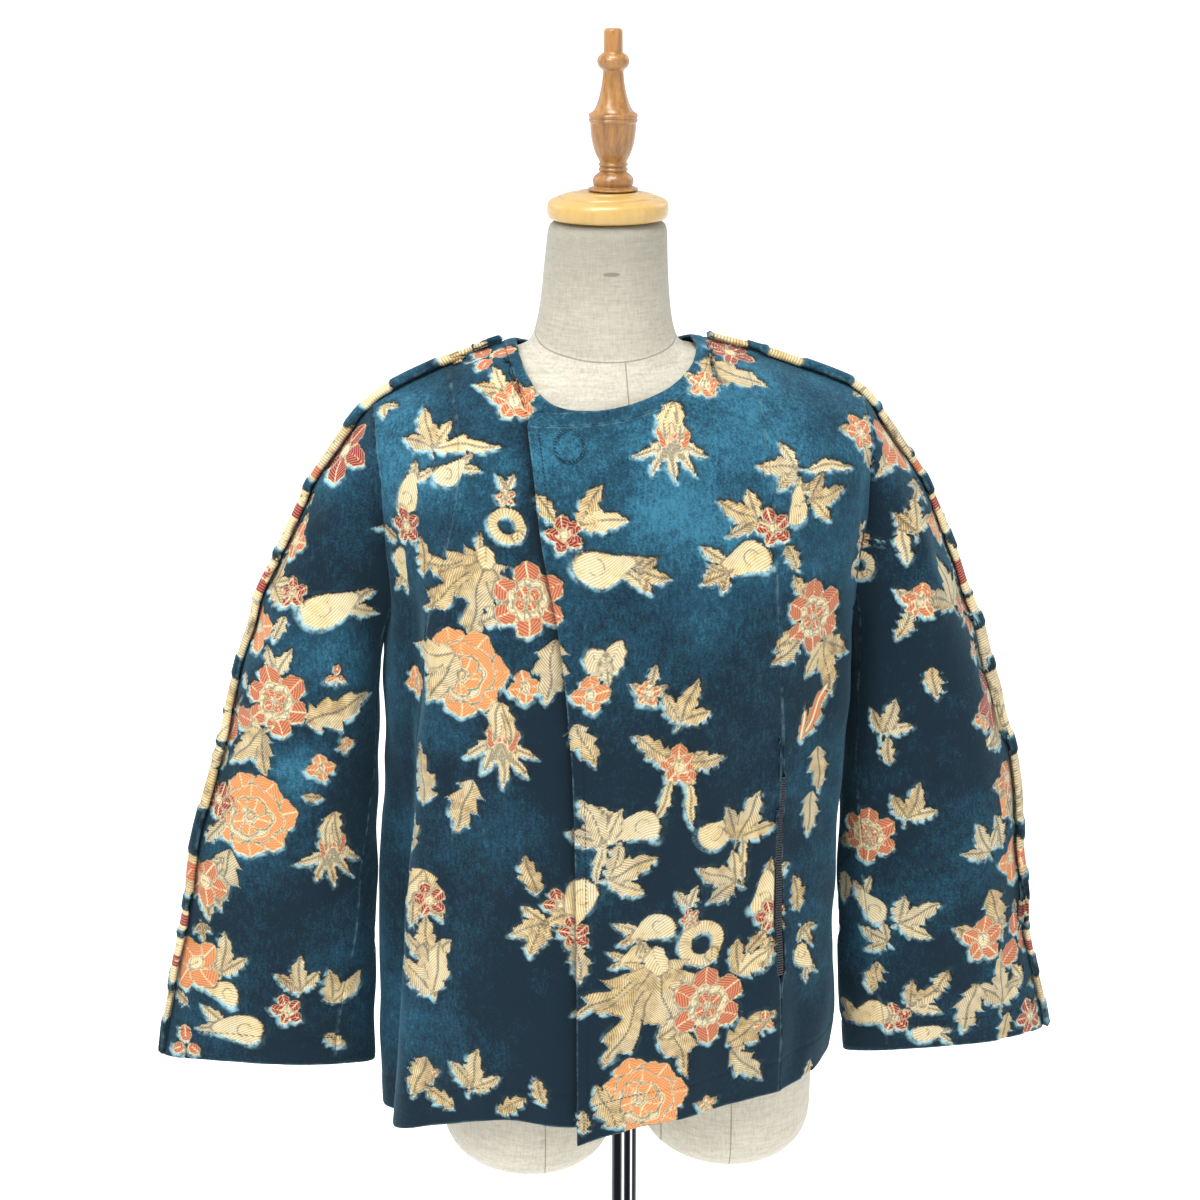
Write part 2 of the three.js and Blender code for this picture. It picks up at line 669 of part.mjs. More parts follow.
// Sleeves: each ring runs from the shoulder tip down the front to the armpit and up the back
function sleeveRing(side, share) {
  const { sideFront: front, back } = body[side > 0 ? "left" : "right"];
  const seam = (grid, row) => grid[row].at(-1);
  const top = ROWS;
  const tip = seam(front, top);
  const pit = seam(front, SIDE_ROWS);
  const middle = tip.clone().add(pit).multiplyScalar(0.5);
  const reach = tip.clone().sub(pit).multiplyScalar(0.5);
  const ring = [];
  const inner = mix(166, 126, smooth(share)); // where the under sleeve starts, round from the outer line
  for (let k = 0; k < 2 * ARMHOLE_ROWS; k++) {
    const onFront = k <= ARMHOLE_ROWS;
    const step = onFront ? k : 2 * ARMHOLE_ROWS - k;
    const at = seam(onFront ? front : back, top - step);
    const under = step > TOP_SLEEVE_COLUMNS;
    const rest = (step - TOP_SLEEVE_COLUMNS) / (ARMHOLE_ROWS - TOP_SLEEVE_COLUMNS);
    const turn = under ? mix(inner, 180, rest) : inner * (step / TOP_SLEEVE_COLUMNS);
    const armhole = { along: at.clone().sub(middle).dot(reach) / reach.lengthSq(), y: at.y };
    const point = share === 0 ? at : sleevePoint(side, rad(onFront ? turn : -turn), share, armhole);
    ring.push(point);
  }
  return ring;
}
const ringShare = (i) => (i / SLEEVE_RINGS) ** 1.12;
const sleeveRings = {};
for (const [name, side] of [
  ["left", 1],
  ["right", -1],
]) {
  const rings = [];
  for (let i = 0; i <= SLEEVE_RINGS; i++) rings.push(sleeveRing(side, ringShare(i)));
  sleeveRings[name] = rings;
  const closed = rings.map((ring) => [...ring, ring[0]]);
  const cut = (from, to) => closed.map((ring) => ring.slice(from, to + 1)).reverse();
  const all = 2 * ARMHOLE_ROWS;
  addGrid("sleeve_front_" + name, cut(0, TOP_SLEEVE_COLUMNS), side > 0);
  addGrid("sleeve_under_" + name, cut(TOP_SLEEVE_COLUMNS, all - TOP_SLEEVE_COLUMNS), side > 0);
  addGrid("sleeve_back_" + name, cut(all - TOP_SLEEVE_COLUMNS, all), side > 0);
}

finishSkin();

// Zip in a slit of the left front seam. The slit widens downwards.
const ZIP = { low: 834, high: 1007, lowWidth: 7.6, highWidth: 3.4, clearance: 0.35, depth: 1, thick: 1.6 };
const ZIP_STEPS = 8;

// A strip that follows the front seam, between two distances below the face
function seamStrip(low, high, less, shallow, deep) {
  const rings = [];
  for (let i = 0; i <= ZIP_STEPS; i++) {
    const share = i / ZIP_STEPS;
    const z = mix(low, high, share);
    const width = mix(ZIP.lowWidth, ZIP.highWidth, smooth((share - 0.35) / 0.5)) - 2 * less;
    const middle = rad(read(FRONT_SEAM, z, "left"));
    const half = width / 2 / 150;
    const corners = [
      [-half, shallow],
      [-half, deep],
      [half, deep],
      [half, shallow],
    ];
    rings.push(corners.map(([turn, under]) => bodyPoint(middle + turn, z, under)).reverse());
  }
  return loft(rings);
}
const slit = toSolid(seamStrip(ZIP.low, ZIP.high, 0, -8, 12));
const { low, high, clearance, depth, thick } = ZIP;
add(jacket, "pocket_zip", seamStrip(low + clearance, high - clearance, clearance, depth, depth + thick), zipTape);

for (const panel of new Set(skin.faces.map((f) => f.panel))) {
  const wall = panelGeometry(panel);
  const slitted = panel === "front_left" || panel === "side_front_left";
  add(jacket, panel, slitted ? fromSolid(toSolid(wall).subtract(slit)) : wall, velvet);
}

// Raised double welt along each overarm seam, from the neck to the cuff.
// across is towards the front and lift is off the cloth.
const WELT = [
  { across: 14, lift: 0.7 },
  { across: 13.6, lift: 3.6 },
  { across: 11, lift: 5.2 },
  { across: 8, lift: 4.4 },
  { across: 5.6, lift: 2.4 },
  { across: 0.5, lift: 2.6 },
  { across: -2, lift: 6.4 },
  { across: -5.5, lift: 8 },
  { across: -8.6, lift: 6 },
  { across: -10, lift: 0.7 },
  { across: -5, lift: 0.8 },
  { across: 0, lift: 0.8 },
  { across: 3.5, lift: 0.8 },
  { across: 7, lift: 0.8 },
  { across: 10.5, lift: 0.8 },
];
const WELT_START = 1.2; // the welt starts this far outside the neck band
const WELT_SWELL = 1.5; // and is this much thicker there

// The point and outward direction at a distance along a line of skin points, from the outer line to the front
function alongLine(front, back, across) {
  const line = across >= 0 ? front : back;
  let rest = Math.abs(across);
  for (let k = 0; ; k++) {
    const [a, b] = [line[k], line[k + 1]];
    const length = a.distanceTo(b);
    if (rest <= length || k + 2 === line.length) {
      const [p, q] = [a, b].map((point) => skin.normals[skinVertex(point)]);
      return { point: a.clone().lerp(b, rest / length), up: p.clone().lerp(q, rest / length).normalize() };
    }
    rest -= length;
  }
}

function weltRing(front, back, swell = 1) {
  const { up } = alongLine(front, back, 0);
  return WELT.map(({ across, lift }) => {
    const at = alongLine(front, back, across);
    if (lift < 1) return at.point.addScaledVector(at.up, lift);
    return at.point.addScaledVector(up.clone().lerp(at.up, 0.5).normalize(), lift * swell);
  });
}

for (const { name, side } of sides) {
  const { front, sideFront, back } = body[name];
  const split = SEAM_COLUMN[name];
  const column = (grid, j) => grid.map((row) => row[j]).reverse();
  const rings = [];
  for (let j = 0; j <= SHOULDER_COLUMNS; j++) {
    const frontLine = j < split ? column(front, NECK_COLUMNS[name] + j) : column(sideFront, j - split);
    const swell = mix(WELT_SWELL, 1, smooth(j / 3));
    rings.push(weltRing(frontLine, column(back, NECK_COLUMNS.back + j), swell));
  }
  const outwards = V(side, 0, -0.1).multiplyScalar(WELT_START);
  rings[0].forEach((p) => p.add(outwards));
  for (const ring of sleeveRings[name].slice(1))
    rings.push(weltRing(ring.slice(0, 6), [ring[0], ...ring.slice(-5).reverse()]));
  add(jacket, "overarm_welt_" + name, loft(side < 0 ? rings : rings.map((ring) => ring.slice().reverse())), velvet);
}

// Covered snap at the top corner of the left front
const SNAP = { x: -44, z: 1268, radius: 12, lift: 0.5, height: 2.2 };
function snapRing(radius, lift) {
  const ring = [];
  for (let k = 0; k < 14; k++) {
    const turn = (k / 14) * 2 * Math.PI;
    const z = SNAP.z + radius * Math.sin(turn);
    const angle = angleOf(SNAP.x + radius * Math.cos(turn) - read(BODY, z, "shift"), z);
    ring.push(bodyPoint(angle, z, -lift));
  }
  return ring;
}
add(
  jacket,
  "snap_cover",
  loft([
    snapRing(SNAP.radius, SNAP.lift),
    snapRing(SNAP.radius, SNAP.lift + 1),
    snapRing(SNAP.radius * 0.8, SNAP.height),
    snapRing(SNAP.radius * 0.3, SNAP.height + 0.5),
  ]),
  velvet,
);

// Dress form by height: half width, depth to the front and back, and sideways shift
const FORM = [
  { at: 715, half: 148, front: 92, back: 92, shift: 4 },
  { at: 790, half: 157, front: 101, back: 106, shift: 3 },
  { at: 850, half: 157, front: 100, back: 104, shift: 1 },
  { at: 930, half: 142, front: 92, back: 86, shift: 0 },
  { at: 1000, half: 124, front: 86, back: 74, shift: -2 },
  { at: 1070, half: 134, front: 100, back: 80, shift: -2 },
  { at: 1140, half: 150, front: 116, back: 88, shift: -2 },
  { at: 1210, half: 168, front: 102, back: 88, shift: -1 },
  { at: 1280, half: 196, front: 93, back: 82, shift: -5 },
  { at: 1345, half: 212, front: 86, back: 70, shift: -20 },
];
const FORM_SIDES = 26;
const FORM_BELOW = 4.2; // the form's shoulder below the jacket's outer face
const FORM_TIP = 176; // half width of the form at the shoulder plates
const NECK_BASE = { z: 1327, half: 60, depth: 57, behind: -3, shift: -16, flareX: 0.28, flareY: 0.36 };
// Neck by height: half width, half depth, how far its centre lies behind the pole, and sideways shift
const NECK = [
  { at: 1327, half: 60, depth: 57, behind: -3, shift: -16 },
  { at: 1333, half: 57, depth: 55, behind: -4, shift: -16 },
  { at: 1346, half: 53, depth: 53, behind: -5, shift: -16 },
  { at: 1368, half: 50, depth: 50.5, behind: -6, shift: -15.5 },
  { at: 1400, half: 47.5, depth: 48.5, behind: -8, shift: -15 },
  { at: 1426, half: 46, depth: 47, behind: -10, shift: -14 },
];

// Half width of the form's shoulders at a height, where they meet the shoulder line
function formReach(z, half) {
  let [low, high] = [0, TIP_HALF * 1.3];
  for (let k = 0; k < 40; k++) {
    const x = (low + high) / 2;
    if (shoulderZ(x) - FORM_BELOW > z) low = x;
    else high = x;
  }
  return Math.min(low, mix(half, FORM_TIP, smooth((z - 1190) / 60)));
}

// Depth of the neck's flare at a height and a distance from the pole
function flareDepth(x, z, front) {
  const below = NECK_BASE.z - z;
  const half = NECK_BASE.half + NECK_BASE.flareX * below;
  const depth = NECK_BASE.depth + NECK_BASE.flareY * below;
  const share = 1 - ((x - NECK_BASE.shift) / half) ** 2;
  return share > 0 ? depth * Math.sqrt(share) - front * NECK_BASE.behind : 0;
}

function formRing(z) {
  const half = read(FORM, z, "half");
  const onShoulder = z > 1190;
  const reach = onShoulder ? formReach(z, half) : half;
  const ring = [];
  for (let k = 0; k < FORM_SIDES; k++) {
    const angle = (k / FORM_SIDES) * 2 * Math.PI;
    const front = Math.cos(angle) >= 0 ? 1 : -1;
    const x = reach * Math.sin(angle);
    const depth = read(FORM, z, front > 0 ? "front" : "back");
    const round = depth * Math.abs(Math.cos(angle));
    const full = depth * Math.sqrt(Math.max(0, 1 - (x / half) ** 2));
    const rolled = full * roll(shoulderZ(x) - FORM_BELOW - z, rollHeight(x, front < 0));
    const wide = x + read(FORM, z, "shift");
    const body = onShoulder ? mix(round, rolled, smooth((z - 1190) / 50)) : round;
    const deep = z > 1230 ? Math.max(body, flareDepth(wide, z, front)) : body;
    ring.push(V(wide, -front * deep, z));
  }
  return ring;
}

function neckRing(z) {
  const at = (name) => read(NECK, z, name);
  const ring = [];
  for (let k = 0; k < FORM_SIDES; k++) {
    const angle = (k / FORM_SIDES) * 2 * Math.PI;
    ring.push(V(at("shift") + at("half") * Math.sin(angle), at("behind") - at("depth") * Math.cos(angle), z));
  }
  return ring;
}

// Stub of a thigh: inset of the edge by height above its bottom
const THIGH = { x: 83, half: 73, depth: 88, bottom: 650, round: 26, behind: -4, shift: 3 };
const THIGH_EDGE = [
  { above: 0, inset: 1 },
  { above: 2.5, inset: 0.62 },
  { above: 8, inset: 0.3 },
  { above: 17, inset: 0.1 },
  { above: 32, inset: 0 },
  { above: 110, inset: 0 },
];
function thigh(side) {
  const rings = THIGH_EDGE.map(({ above, inset }) => {
    const ring = [];
    const [a, b] = [THIGH.half - THIGH.round * inset, THIGH.depth - THIGH.round * inset];
    for (let k = 0; k < FORM_SIDES; k++) {
      const angle = (k / FORM_SIDES) * 2 * Math.PI;
      const x = side * THIGH.x + THIGH.shift + a * Math.sin(angle);
      ring.push(V(x, THIGH.behind - b * Math.cos(angle), THIGH.bottom + above));
    }
    return ring;
  });
  return loft(rings);
}

const POLE_RADIUS = 12.5;
const COLLAR = { radius: 15, low: 664, high: 714.6 };
const GAP = 0.3;
const torsoHeights = [715, 740, 770, 810, 850, 890, 930, 965, 1000, 1035, 1070, 1105, 1140, 1175, 1205];
const shoulderHeights = [1230, 1250, 1266, 1280, 1291, 1301, 1310, 1317, 1321.5];
const neckHeights = [1327, 1333, 1346, 1368, 1398, 1426];
const torso = loft([...[...torsoHeights, ...shoulderHeights].map(formRing), ...neckHeights.map(neckRing)]);
const socket = new THREE.CylinderGeometry(COLLAR.radius + GAP, COLLAR.radius + GAP, 80, 24);
socket.rotateX(Math.PI / 2).translate(0, 0, COLLAR.high + GAP - 40);
const stubs = [1, -1].reduce((solid, side) => solid.add(toSolid(thigh(side))), toSolid(torso));
add(stand, "dress_form", fromSolid(stubs.subtract(toSolid(socket))), linen);

// Turned wood on the neck: a flat cap, and a finial in one piece
const TURNING_SIDES = 24;
const NECK_TOP = { x: -14, y: -10, z: 1426 };
const FINIAL_OFFSET = 4; // the finial stands a little off the middle of the cap
function turned(name, profile, offset = 0) {
  const lathe = new THREE.LatheGeometry(
    profile.map(([r, h]) => new THREE.Vector2(r, h)),
    TURNING_SIDES,
  );
  const mesh = add(stand, name, lathe, wood);
  mesh.rotation.x = Math.PI / 2;
  mesh.position.set(NECK_TOP.x + offset, NECK_TOP.y, NECK_TOP.z);
}
turned("neck_cap", [
  [0, 0.4],
  [43.4, 0.4],
  [45.6, 2],
  [46.6, 7],
  [46.4, 12],
  [44.2, 15.4],
  [37, 17.6],
  [35.4, 17.2],
  [26, 21],
  [0, 21],
]);
turned(
  "finial",
  [
    [0, 21.4],
    [18, 21.4],
    [19.4, 23],
    [16.8, 24.8],
    [15.8, 26.4],
    [14.2, 29.6],
    [11.4, 33.6],
    [10.2, 36],
    [10.8, 39.4],
    [9.8, 41.4],
    [10.6, 45],
    [14.2, 54],
    [16.4, 65],
    [17.6, 73],
    [18.8, 76.6],
    [18, 79.6],
    [14.4, 81.8],
    [12.6, 85],
    [10.4, 93],
    [8.2, 103],
    [7.8, 111.6],
    [10.6, 114.6],
    [12.2, 118.8],
    [10.2, 123],
    [7.6, 124.8],
    [7.2, 140.8],
    [6.2, 142.4],
    [0, 142.4],
  ],
  FINIAL_OFFSET,
);

// Chrome pole on a round steel base, with a black collar under the form
const BASE = { radius: 165, thickness: 10, bevel: 2 };
function post(name, radius, low, high, material, sides = 32) {
  const mesh = add(stand, name, new THREE.CylinderGeometry(radius, radius, high - low, sides), material);
  mesh.rotation.x = Math.PI / 2;
  mesh.position.z = (low + high) / 2;
}
post("pole", POLE_RADIUS, BASE.thickness + GAP, COLLAR.low - GAP, chrome);
post("pole_collar", COLLAR.radius, COLLAR.low, COLLAR.high, blackPlastic, 24);
const plate = new THREE.LatheGeometry(
  [
    [0, 0],
    [BASE.radius - BASE.bevel, 0],
    [BASE.radius, BASE.bevel],
    [BASE.radius, BASE.thickness - BASE.bevel],
    [BASE.radius - BASE.bevel, BASE.thickness],
    [0, BASE.thickness],
  ].map(([r, h]) => new THREE.Vector2(r, h)),
  48,
);
add(stand, "base_plate", plate, chrome).rotation.x = Math.PI / 2;

export default part;
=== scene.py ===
"""Velvet jacquard jacket on a linen dress form: the cloth, its woven pattern, the stand and the studio."""

import math

import bmesh
import bpy
import numpy as np
from bpy.props import FloatProperty, FloatVectorProperty, IntProperty, PointerProperty
from mathutils import Matrix, Vector, noise
from mathutils.bvhtree import BVHTree
from mathutils.kdtree import KDTree


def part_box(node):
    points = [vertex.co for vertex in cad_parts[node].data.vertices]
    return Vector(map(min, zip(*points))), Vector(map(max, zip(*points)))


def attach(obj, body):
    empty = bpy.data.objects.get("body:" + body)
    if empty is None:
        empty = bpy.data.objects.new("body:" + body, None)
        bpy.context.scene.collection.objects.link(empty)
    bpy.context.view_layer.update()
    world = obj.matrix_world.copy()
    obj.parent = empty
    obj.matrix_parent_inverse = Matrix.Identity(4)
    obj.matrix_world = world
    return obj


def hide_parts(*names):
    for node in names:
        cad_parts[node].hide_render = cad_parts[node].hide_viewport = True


bl_info = {
    "name": "Jacquard jacket on a dress form",
    "version": (1, 0, 0),
    "blender": (4, 5, 0),
    "location": "View3D > Sidebar > Jacket",
    "description": "Builds the jacket's cloth, its woven pattern, the dress form and the studio",
    "category": "Object",
}

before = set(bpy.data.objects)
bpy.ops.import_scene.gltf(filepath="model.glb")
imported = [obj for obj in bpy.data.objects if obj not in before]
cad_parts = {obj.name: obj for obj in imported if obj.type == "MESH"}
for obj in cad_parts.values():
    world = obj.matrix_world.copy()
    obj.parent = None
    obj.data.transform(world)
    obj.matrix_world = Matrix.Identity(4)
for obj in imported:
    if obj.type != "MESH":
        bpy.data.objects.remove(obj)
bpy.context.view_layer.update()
MM = 0.001

# Sewn pieces: rounds of smoothing, longest mesh edge in mm, flat cut (width and length in m, area in m2)
CLOTH = {
    "front_left": (3, 2.4, (0.24, 0.64, 0.111)),
    "side_front_left": (3, 2.4, (0.17, 0.61, 0.083)),
    "front_right": (3, 2.4, (0.235, 0.65, 0.115)),
    "side_front_right": (3, 2.4, (0.105, 0.64, 0.051)),
    "back": (3, 4.2, (0.56, 0.66, 0.302)),
    "neck_band": (3, 3.0, (0.028, 0.52, 0.0143)),
    "sleeve_front_left": (4, 2.4, (0.17, 0.6, 0.083)),
    "sleeve_front_right": (4, 2.4, (0.17, 0.6, 0.082)),
    "sleeve_under_left": (3, 5.0, (0.09, 0.43, 0.032)),
    "sleeve_under_right": (3, 5.0, (0.09, 0.42, 0.031)),
    "sleeve_back_left": (4, 4.2, (0.17, 0.6, 0.083)),
    "sleeve_back_right": (4, 4.2, (0.17, 0.6, 0.082)),
    "overarm_welt_left": (2, 2.2, (0.044, 0.68, 0.027)),
    "overarm_welt_right": (2, 2.2, (0.044, 0.67, 0.024)),
    "snap_cover": (3, 2.0, (0.034, 0.034, 0.00097)),
}

# The woven pattern from the front: motif, place across and up in mm, turn to the left in degrees, size in mm
MOTIFS = [
    ("blossom", -264, 1145, 0, 13), ("plump", -234, 1136, -75, 25), ("leaf", -270, 1136, 60, 30),
    ("leaf", -269, 1127, 165, 23), ("pair", -276, 1082, 0, 25), ("berries", -229, 1081, 0, 10),
    ("peony", -279, 1059, 10, 28), ("leaf", -254, 1043, -68, 53), ("diamond", -220, 1023, 10, 9),
    ("fork", -290, 1034, 128, 46), ("diamond", -244, 1004, 0, 13), ("rose", -302, 963, 0, 35),
    ("leaf", -262, 981, -95, 17), ("bud", -237, 937, 180, 55), ("leaf", -317, 931, 160, 53),
    ("leaf", -334, 918, 190, 39), ("fork", -330, 825, -10, 35), ("plump", -318, 775, 80, 23),
    ("blossom", -277, 793, 0, 14), ("fork", -267, 811, 0, 30), ("pair", -239, 796, -20, 34),
    ("leaf", -246, 769, -140, 21), ("plump", -330, 807, 60, 16), ("fork", -154, 1264, 25, 35),
    ("arm", -154, 1264, -75, 55), ("petals4", -91, 1298, 10, 17), ("pair", -98, 1307, 60, 25),
    ("plump", -140, 1250, -60, 16), ("plump", -173, 1230, -20, 18), ("blossom", -175, 1203, 0, 15),
    ("leaf", -182, 1190, 70, 21), ("plump", -179, 1170, 180, 15), ("blossom", -100, 1232, 0, 8),
    ("pair", -100, 1238, 0, 14), ("ring", -100, 1211, 0, 14), ("acanthus", -116, 1188, -8, 69),
    ("peony", -86, 1155, 0, 28), ("rose", -135, 1096, 0, 35), ("diamond", -89, 1087, 0, 14),
    ("bud", -106, 1046, 180, 58), ("leaf", -67, 1125, 175, 51), ("leaf", -161, 1168, 10, 30),
    ("diamond", -164, 1076, 10, 13), ("leaf", -175, 943, 10, 41), ("fork", -174, 911, 170, 31),
    ("blossom", -63, 909, 0, 14), ("fork", -73, 896, 110, 31), ("leaf", -81, 920, 15, 34),
    ("leaf", -79, 893, 165, 29), ("fork", -165, 855, 0, 37), ("leaf", -162, 855, 170, 28),
    ("petals4", -167, 755, 0, 10), ("fork", -133, 750, -12, 35), ("leaf", -148, 729, 60, 30),
    ("leaf", -113, 731, -60, 28), ("leaf", -76, 741, 20, 25), ("bud", 26, 1273, 180, 55),
    ("leaf", 51, 1320, -112, 55), ("petals4", 53, 1307, 0, 13), ("blossom", -57, 1205, 0, 15),
    ("pair", -46, 1213, -60, 36), ("leaf", -64, 1216, 40, 25), ("plump", -27, 1181, -95, 25),
    ("fork", -2, 1176, -105, 24), ("blossom", 101, 1204, 0, 15), ("fork", 89, 1211, 62, 33),
    ("plump", 79, 1180, 95, 23), ("fork", 65, 1173, 112, 21), ("leaf", 111, 1190, -150, 25),
    ("plump", 121, 1219, -20, 16), ("fork", 133, 1221, -82, 33), ("arm", 129, 1245, -82, 44),
    ("fork", 121, 1247, 80, 31), ("petals4", 177, 1264, 10, 15), ("leaf", 179, 1256, -155, 25),
    ("blossom", 184, 1175, 0, 8), ("pair", 183, 1183, 0, 13), ("ring", 185, 1154, 0, 12),
    ("leaf", 129, 1145, 25, 25), ("peony", 137, 1129, 0, 29), ("fork", 147, 1107, -168, 44),
    ("leaf", 125, 1113, 120, 30), ("flame", 131, 1031, -32, 48), ("leaf", 144, 1021, 185, 41),
    ("heart", -27, 1092, 3, 32), ("diamond", -39, 1083, 0, 16), ("leaf", -52, 1061, -155, 39),
    ("petals4", 4, 1083, 0, 11), ("leaf", 5, 1090, -22, 18), ("fork", 29, 1059, -25, 35),
    ("petals4", 29, 1023, 0, 17), ("leaf", 21, 1030, 55, 34), ("leaf", 37, 1024, -82, 28),
    ("arm", 23, 1011, 165, 39), ("arm", 35, 1010, -165, 39), ("plump", -6, 974, 85, 22),
    ("plump", 64, 967, -85, 22), ("fork", -28, 963, 25, 40), ("fork", 79, 956, -25, 41),
    ("arm", -31, 965, 180, 39), ("arm", 81, 953, 190, 39), ("fork", -25, 934, -68, 40),
    ("fork", 78, 919, 62, 38), ("plump", -48, 913, 150, 23), ("blossom", -52, 887, 0, 14),
    ("leaf", -50, 879, 185, 34), ("plump", 101, 907, -20, 20), ("blossom", 106, 885, 0, 14),
    ("leaf", 101, 875, 140, 25), ("leaf", 105, 869, 165, 29), ("ring", 48, 874, 0, 20),
    ("blossom", 38, 896, 0, 9), ("pair", 37, 905, 0, 20), ("plump", 8, 889, 100, 20),
    ("plump", -4, 867, 100, 15), ("acanthus", 11, 862, 16, 96), ("peony", 53, 820, 0, 31),
    ("pair", 79, 841, -30, 34), ("leaf", 71, 781, -58, 48), ("leaf", 73, 777, -135, 41),
    ("berries", 101, 797, 0, 11), ("rose", 1, 747, 0, 34), ("leaf", -19, 722, 25, 41),
    ("leaf", -46, 719, 0, 21), ("leaf", 147, 747, 150, 21), ("petals4", 53, 733, 0, 8),
    ("plump", 135, 843, -150, 15), ("leaf", 130, 885, 10, 32), ("fork", 133, 869, -150, 20),
    ("leaf", 140, 983, 175, 37), ("arm", 218, 1157, 15, 46), ("fork", 225, 1184, 0, 32),
    ("petals4", 229, 1127, 0, 15), ("leaf", 238, 1122, -60, 23), ("leaf", 223, 1119, 160, 25),
    ("leaf", 242, 1073, 190, 28), ("fork", 207, 1015, -20, 31), ("leaf", 211, 988, 0, 25),
    ("fork", 226, 941, -20, 32), ("peony", 196, 924, 0, 23), ("leaf", 183, 887, 180, 28),
    ("fork", 227, 846, -60, 36), ("plump", 203, 861, 30, 18), ("fork", 218, 829, 60, 26),
    ("leaf", 211, 810, 170, 32), ("blossom", 227, 759, 0, 14), ("plump", 207, 759, 100, 20),
    ("fork", 239, 771, -50, 32), ("leaf", 258, 785, -20, 23), ("plump", 255, 747, -90, 14),
    ("diamond", 290, 1024, 0, 14), ("leaf", 311, 909, 20, 32), ("fork", 299, 906, 30, 31),
    ("fork", 316, 770, 0, 46), ("leaf", 324, 759, 165, 30), ("leaf", 272, 1113, 20, 28),
    ("blossom", 279, 1078, 0, 9), ("leaf", -166, 985, 10, 50), ("pair", -168, 930, 170, 46),
    ("blossom", -163, 905, 0, 15), ("leaf", -168, 868, 190, 48), ("pair", -160, 826, 20, 44),
    ("leaf", -166, 770, 160, 40), ("leaf", 300, 872, 200, 50), ("petals4", 296, 830, 0, 20),
    ("leaf", 290, 790, 170, 45), ("fork", 262, 1120, 10, 44), ("leaf", -128, 1010, 160, 48),
    ("pair", -140, 1110, 120, 50),
]  # fmt: skip
# Bright patches of pile, partly where the pile is brushed up and partly painted highlight where light falls,
# as on the upper chest and shoulders: place across and up in mm, radius in mm, amount
BRUSHED_AND_LIT = [
    (60, 1245, 150, 0.9), (-60, 1250, 120, 0.75), (-190, 1255, 80, 0.85), (150, 1240, 90, 0.75),
    (20, 1150, 90, 0.5), (-70, 1130, 50, 0.55), (-240, 1090, 55, 0.7), (-265, 1000, 40, 0.75),
    (-300, 930, 45, 0.5), (-160, 1180, 50, 0.6), (-185, 1060, 50, 0.55), (-150, 950, 60, 0.4),
    (-110, 960, 45, 0.5), (-185, 800, 70, 0.45), (-330, 800, 45, 0.5), (-230, 840, 50, 0.35),
    (-50, 930, 35, 0.35), (150, 880, 60, 0.45), (165, 1000, 60, 0.4), (280, 890, 60, 0.45),
    (310, 790, 55, 0.3), (255, 1150, 50, 0.35), (200, 820, 40, 0.45),
]  # fmt: skip


def rgb(red, green, blue):
    """A colour as a painter reads it, 0 to 255, for a material."""
    return tuple(
        (c / 255 / 12.92) if c / 255 <= 0.04045 else ((c / 255 + 0.055) / 1.055) ** 2.4
        for c in (red, green, blue)
    ) + (1.0,)


class Value:
    """A number in a material. Python's operators on it add Math nodes."""

    def __init__(self, finish, socket):
        self.finish = finish
        self.socket = socket

    def maths(self, operation, *others):
        return self.finish.node("Math", {"operation": operation}, dict(enumerate((self, *others))))

    def __add__(self, other):
        return self.maths("ADD", other)

    __radd__ = __add__

    def __mul__(self, other):
        return self.maths("MULTIPLY", other)

    __rmul__ = __mul__

    def __sub__(self, other):
        return self.maths("SUBTRACT", other)

    def __rsub__(self, other):
        return self.finish.node("Math", {"operation": "SUBTRACT"}, {0: other, 1: self})

    def __truediv__(self, other):
        return self.maths("DIVIDE", other)

    def __abs__(self):
        return self.maths("ABSOLUTE")

    def least(self, other):
        return self.maths("MINIMUM", other)

    def most(self, other):
        return self.maths("MAXIMUM", other)

    def part(self):
        """What is left after the whole number."""
        return self.maths("FRACT")

    def sine(self):
        return self.maths("SINE")

    def step(self, low, high):
        """0 below low, 1 above high, and smooth between."""
        ends = {"Value": self, "From Min": low, "From Max": high}
        return self.finish.node("MapRange", {"interpolation_type": "SMOOTHSTEP"}, ends)


class Finish:
    """A material whose nodes are added by one method."""

    def __init__(self, name, **numbers):
        self.material = bpy.data.materials.new(name)
        self.material.use_nodes = True
        self.tree = self.material.node_tree
        self.shader = self.tree.nodes["Principled BSDF"]
        for socket, number in numbers.items():
            self.shader.inputs[socket.replace("_", " ")].default_value = number
        self.place = self.node("TexCoord", output="Object")

    def node(self, kind, settings=None, inputs=None, output=0):
        made = self.tree.nodes.new("ShaderNode" + kind)
        for name, setting in (settings or {}).items():
            setattr(made, name, setting)
        for name, value in (inputs or {}).items():
            if isinstance(value, Value):
                self.tree.links.new(value.socket, made.inputs[name])
            else:
                made.inputs[name].default_value = value
        return Value(self, made.outputs[output])

    def attribute(self, name):
        return self.node("Attribute", {"attribute_name": name}, output="Fac")

    def noise(self, scale, detail, rough, bend=0.0, stretch=None):
        at = self.place
        if stretch:
            at = self.node("Mapping", inputs={"Vector": self.place, "Scale": stretch})
        values = {"Vector": at, "Scale": scale, "Detail": detail, "Roughness": rough, "Distortion": bend}
        return self.node("TexNoise", inputs=values)

    def axes(self):
        parts = self.node("SeparateXYZ", inputs={0: self.place})
        node = parts.socket.node
        return [Value(self, node.outputs[k]) for k in range(3)]

    def mix(self, amount, first, second):
        return self.node("Mix", {"data_type": "RGBA"}, {0: amount, 6: first, 7: second}, 2)

    def bump(self, height, depth, strength):
        return self.node("Bump", inputs={"Height": height, "Distance": depth, "Strength": strength})

    def feed(self, **links):
        for socket, value in links.items():
            self.tree.links.new(value.socket, self.shader.inputs[socket.replace("_", " ")])
        return self.material


# A distance in mm that stands for nothing near
FAR = 12.0
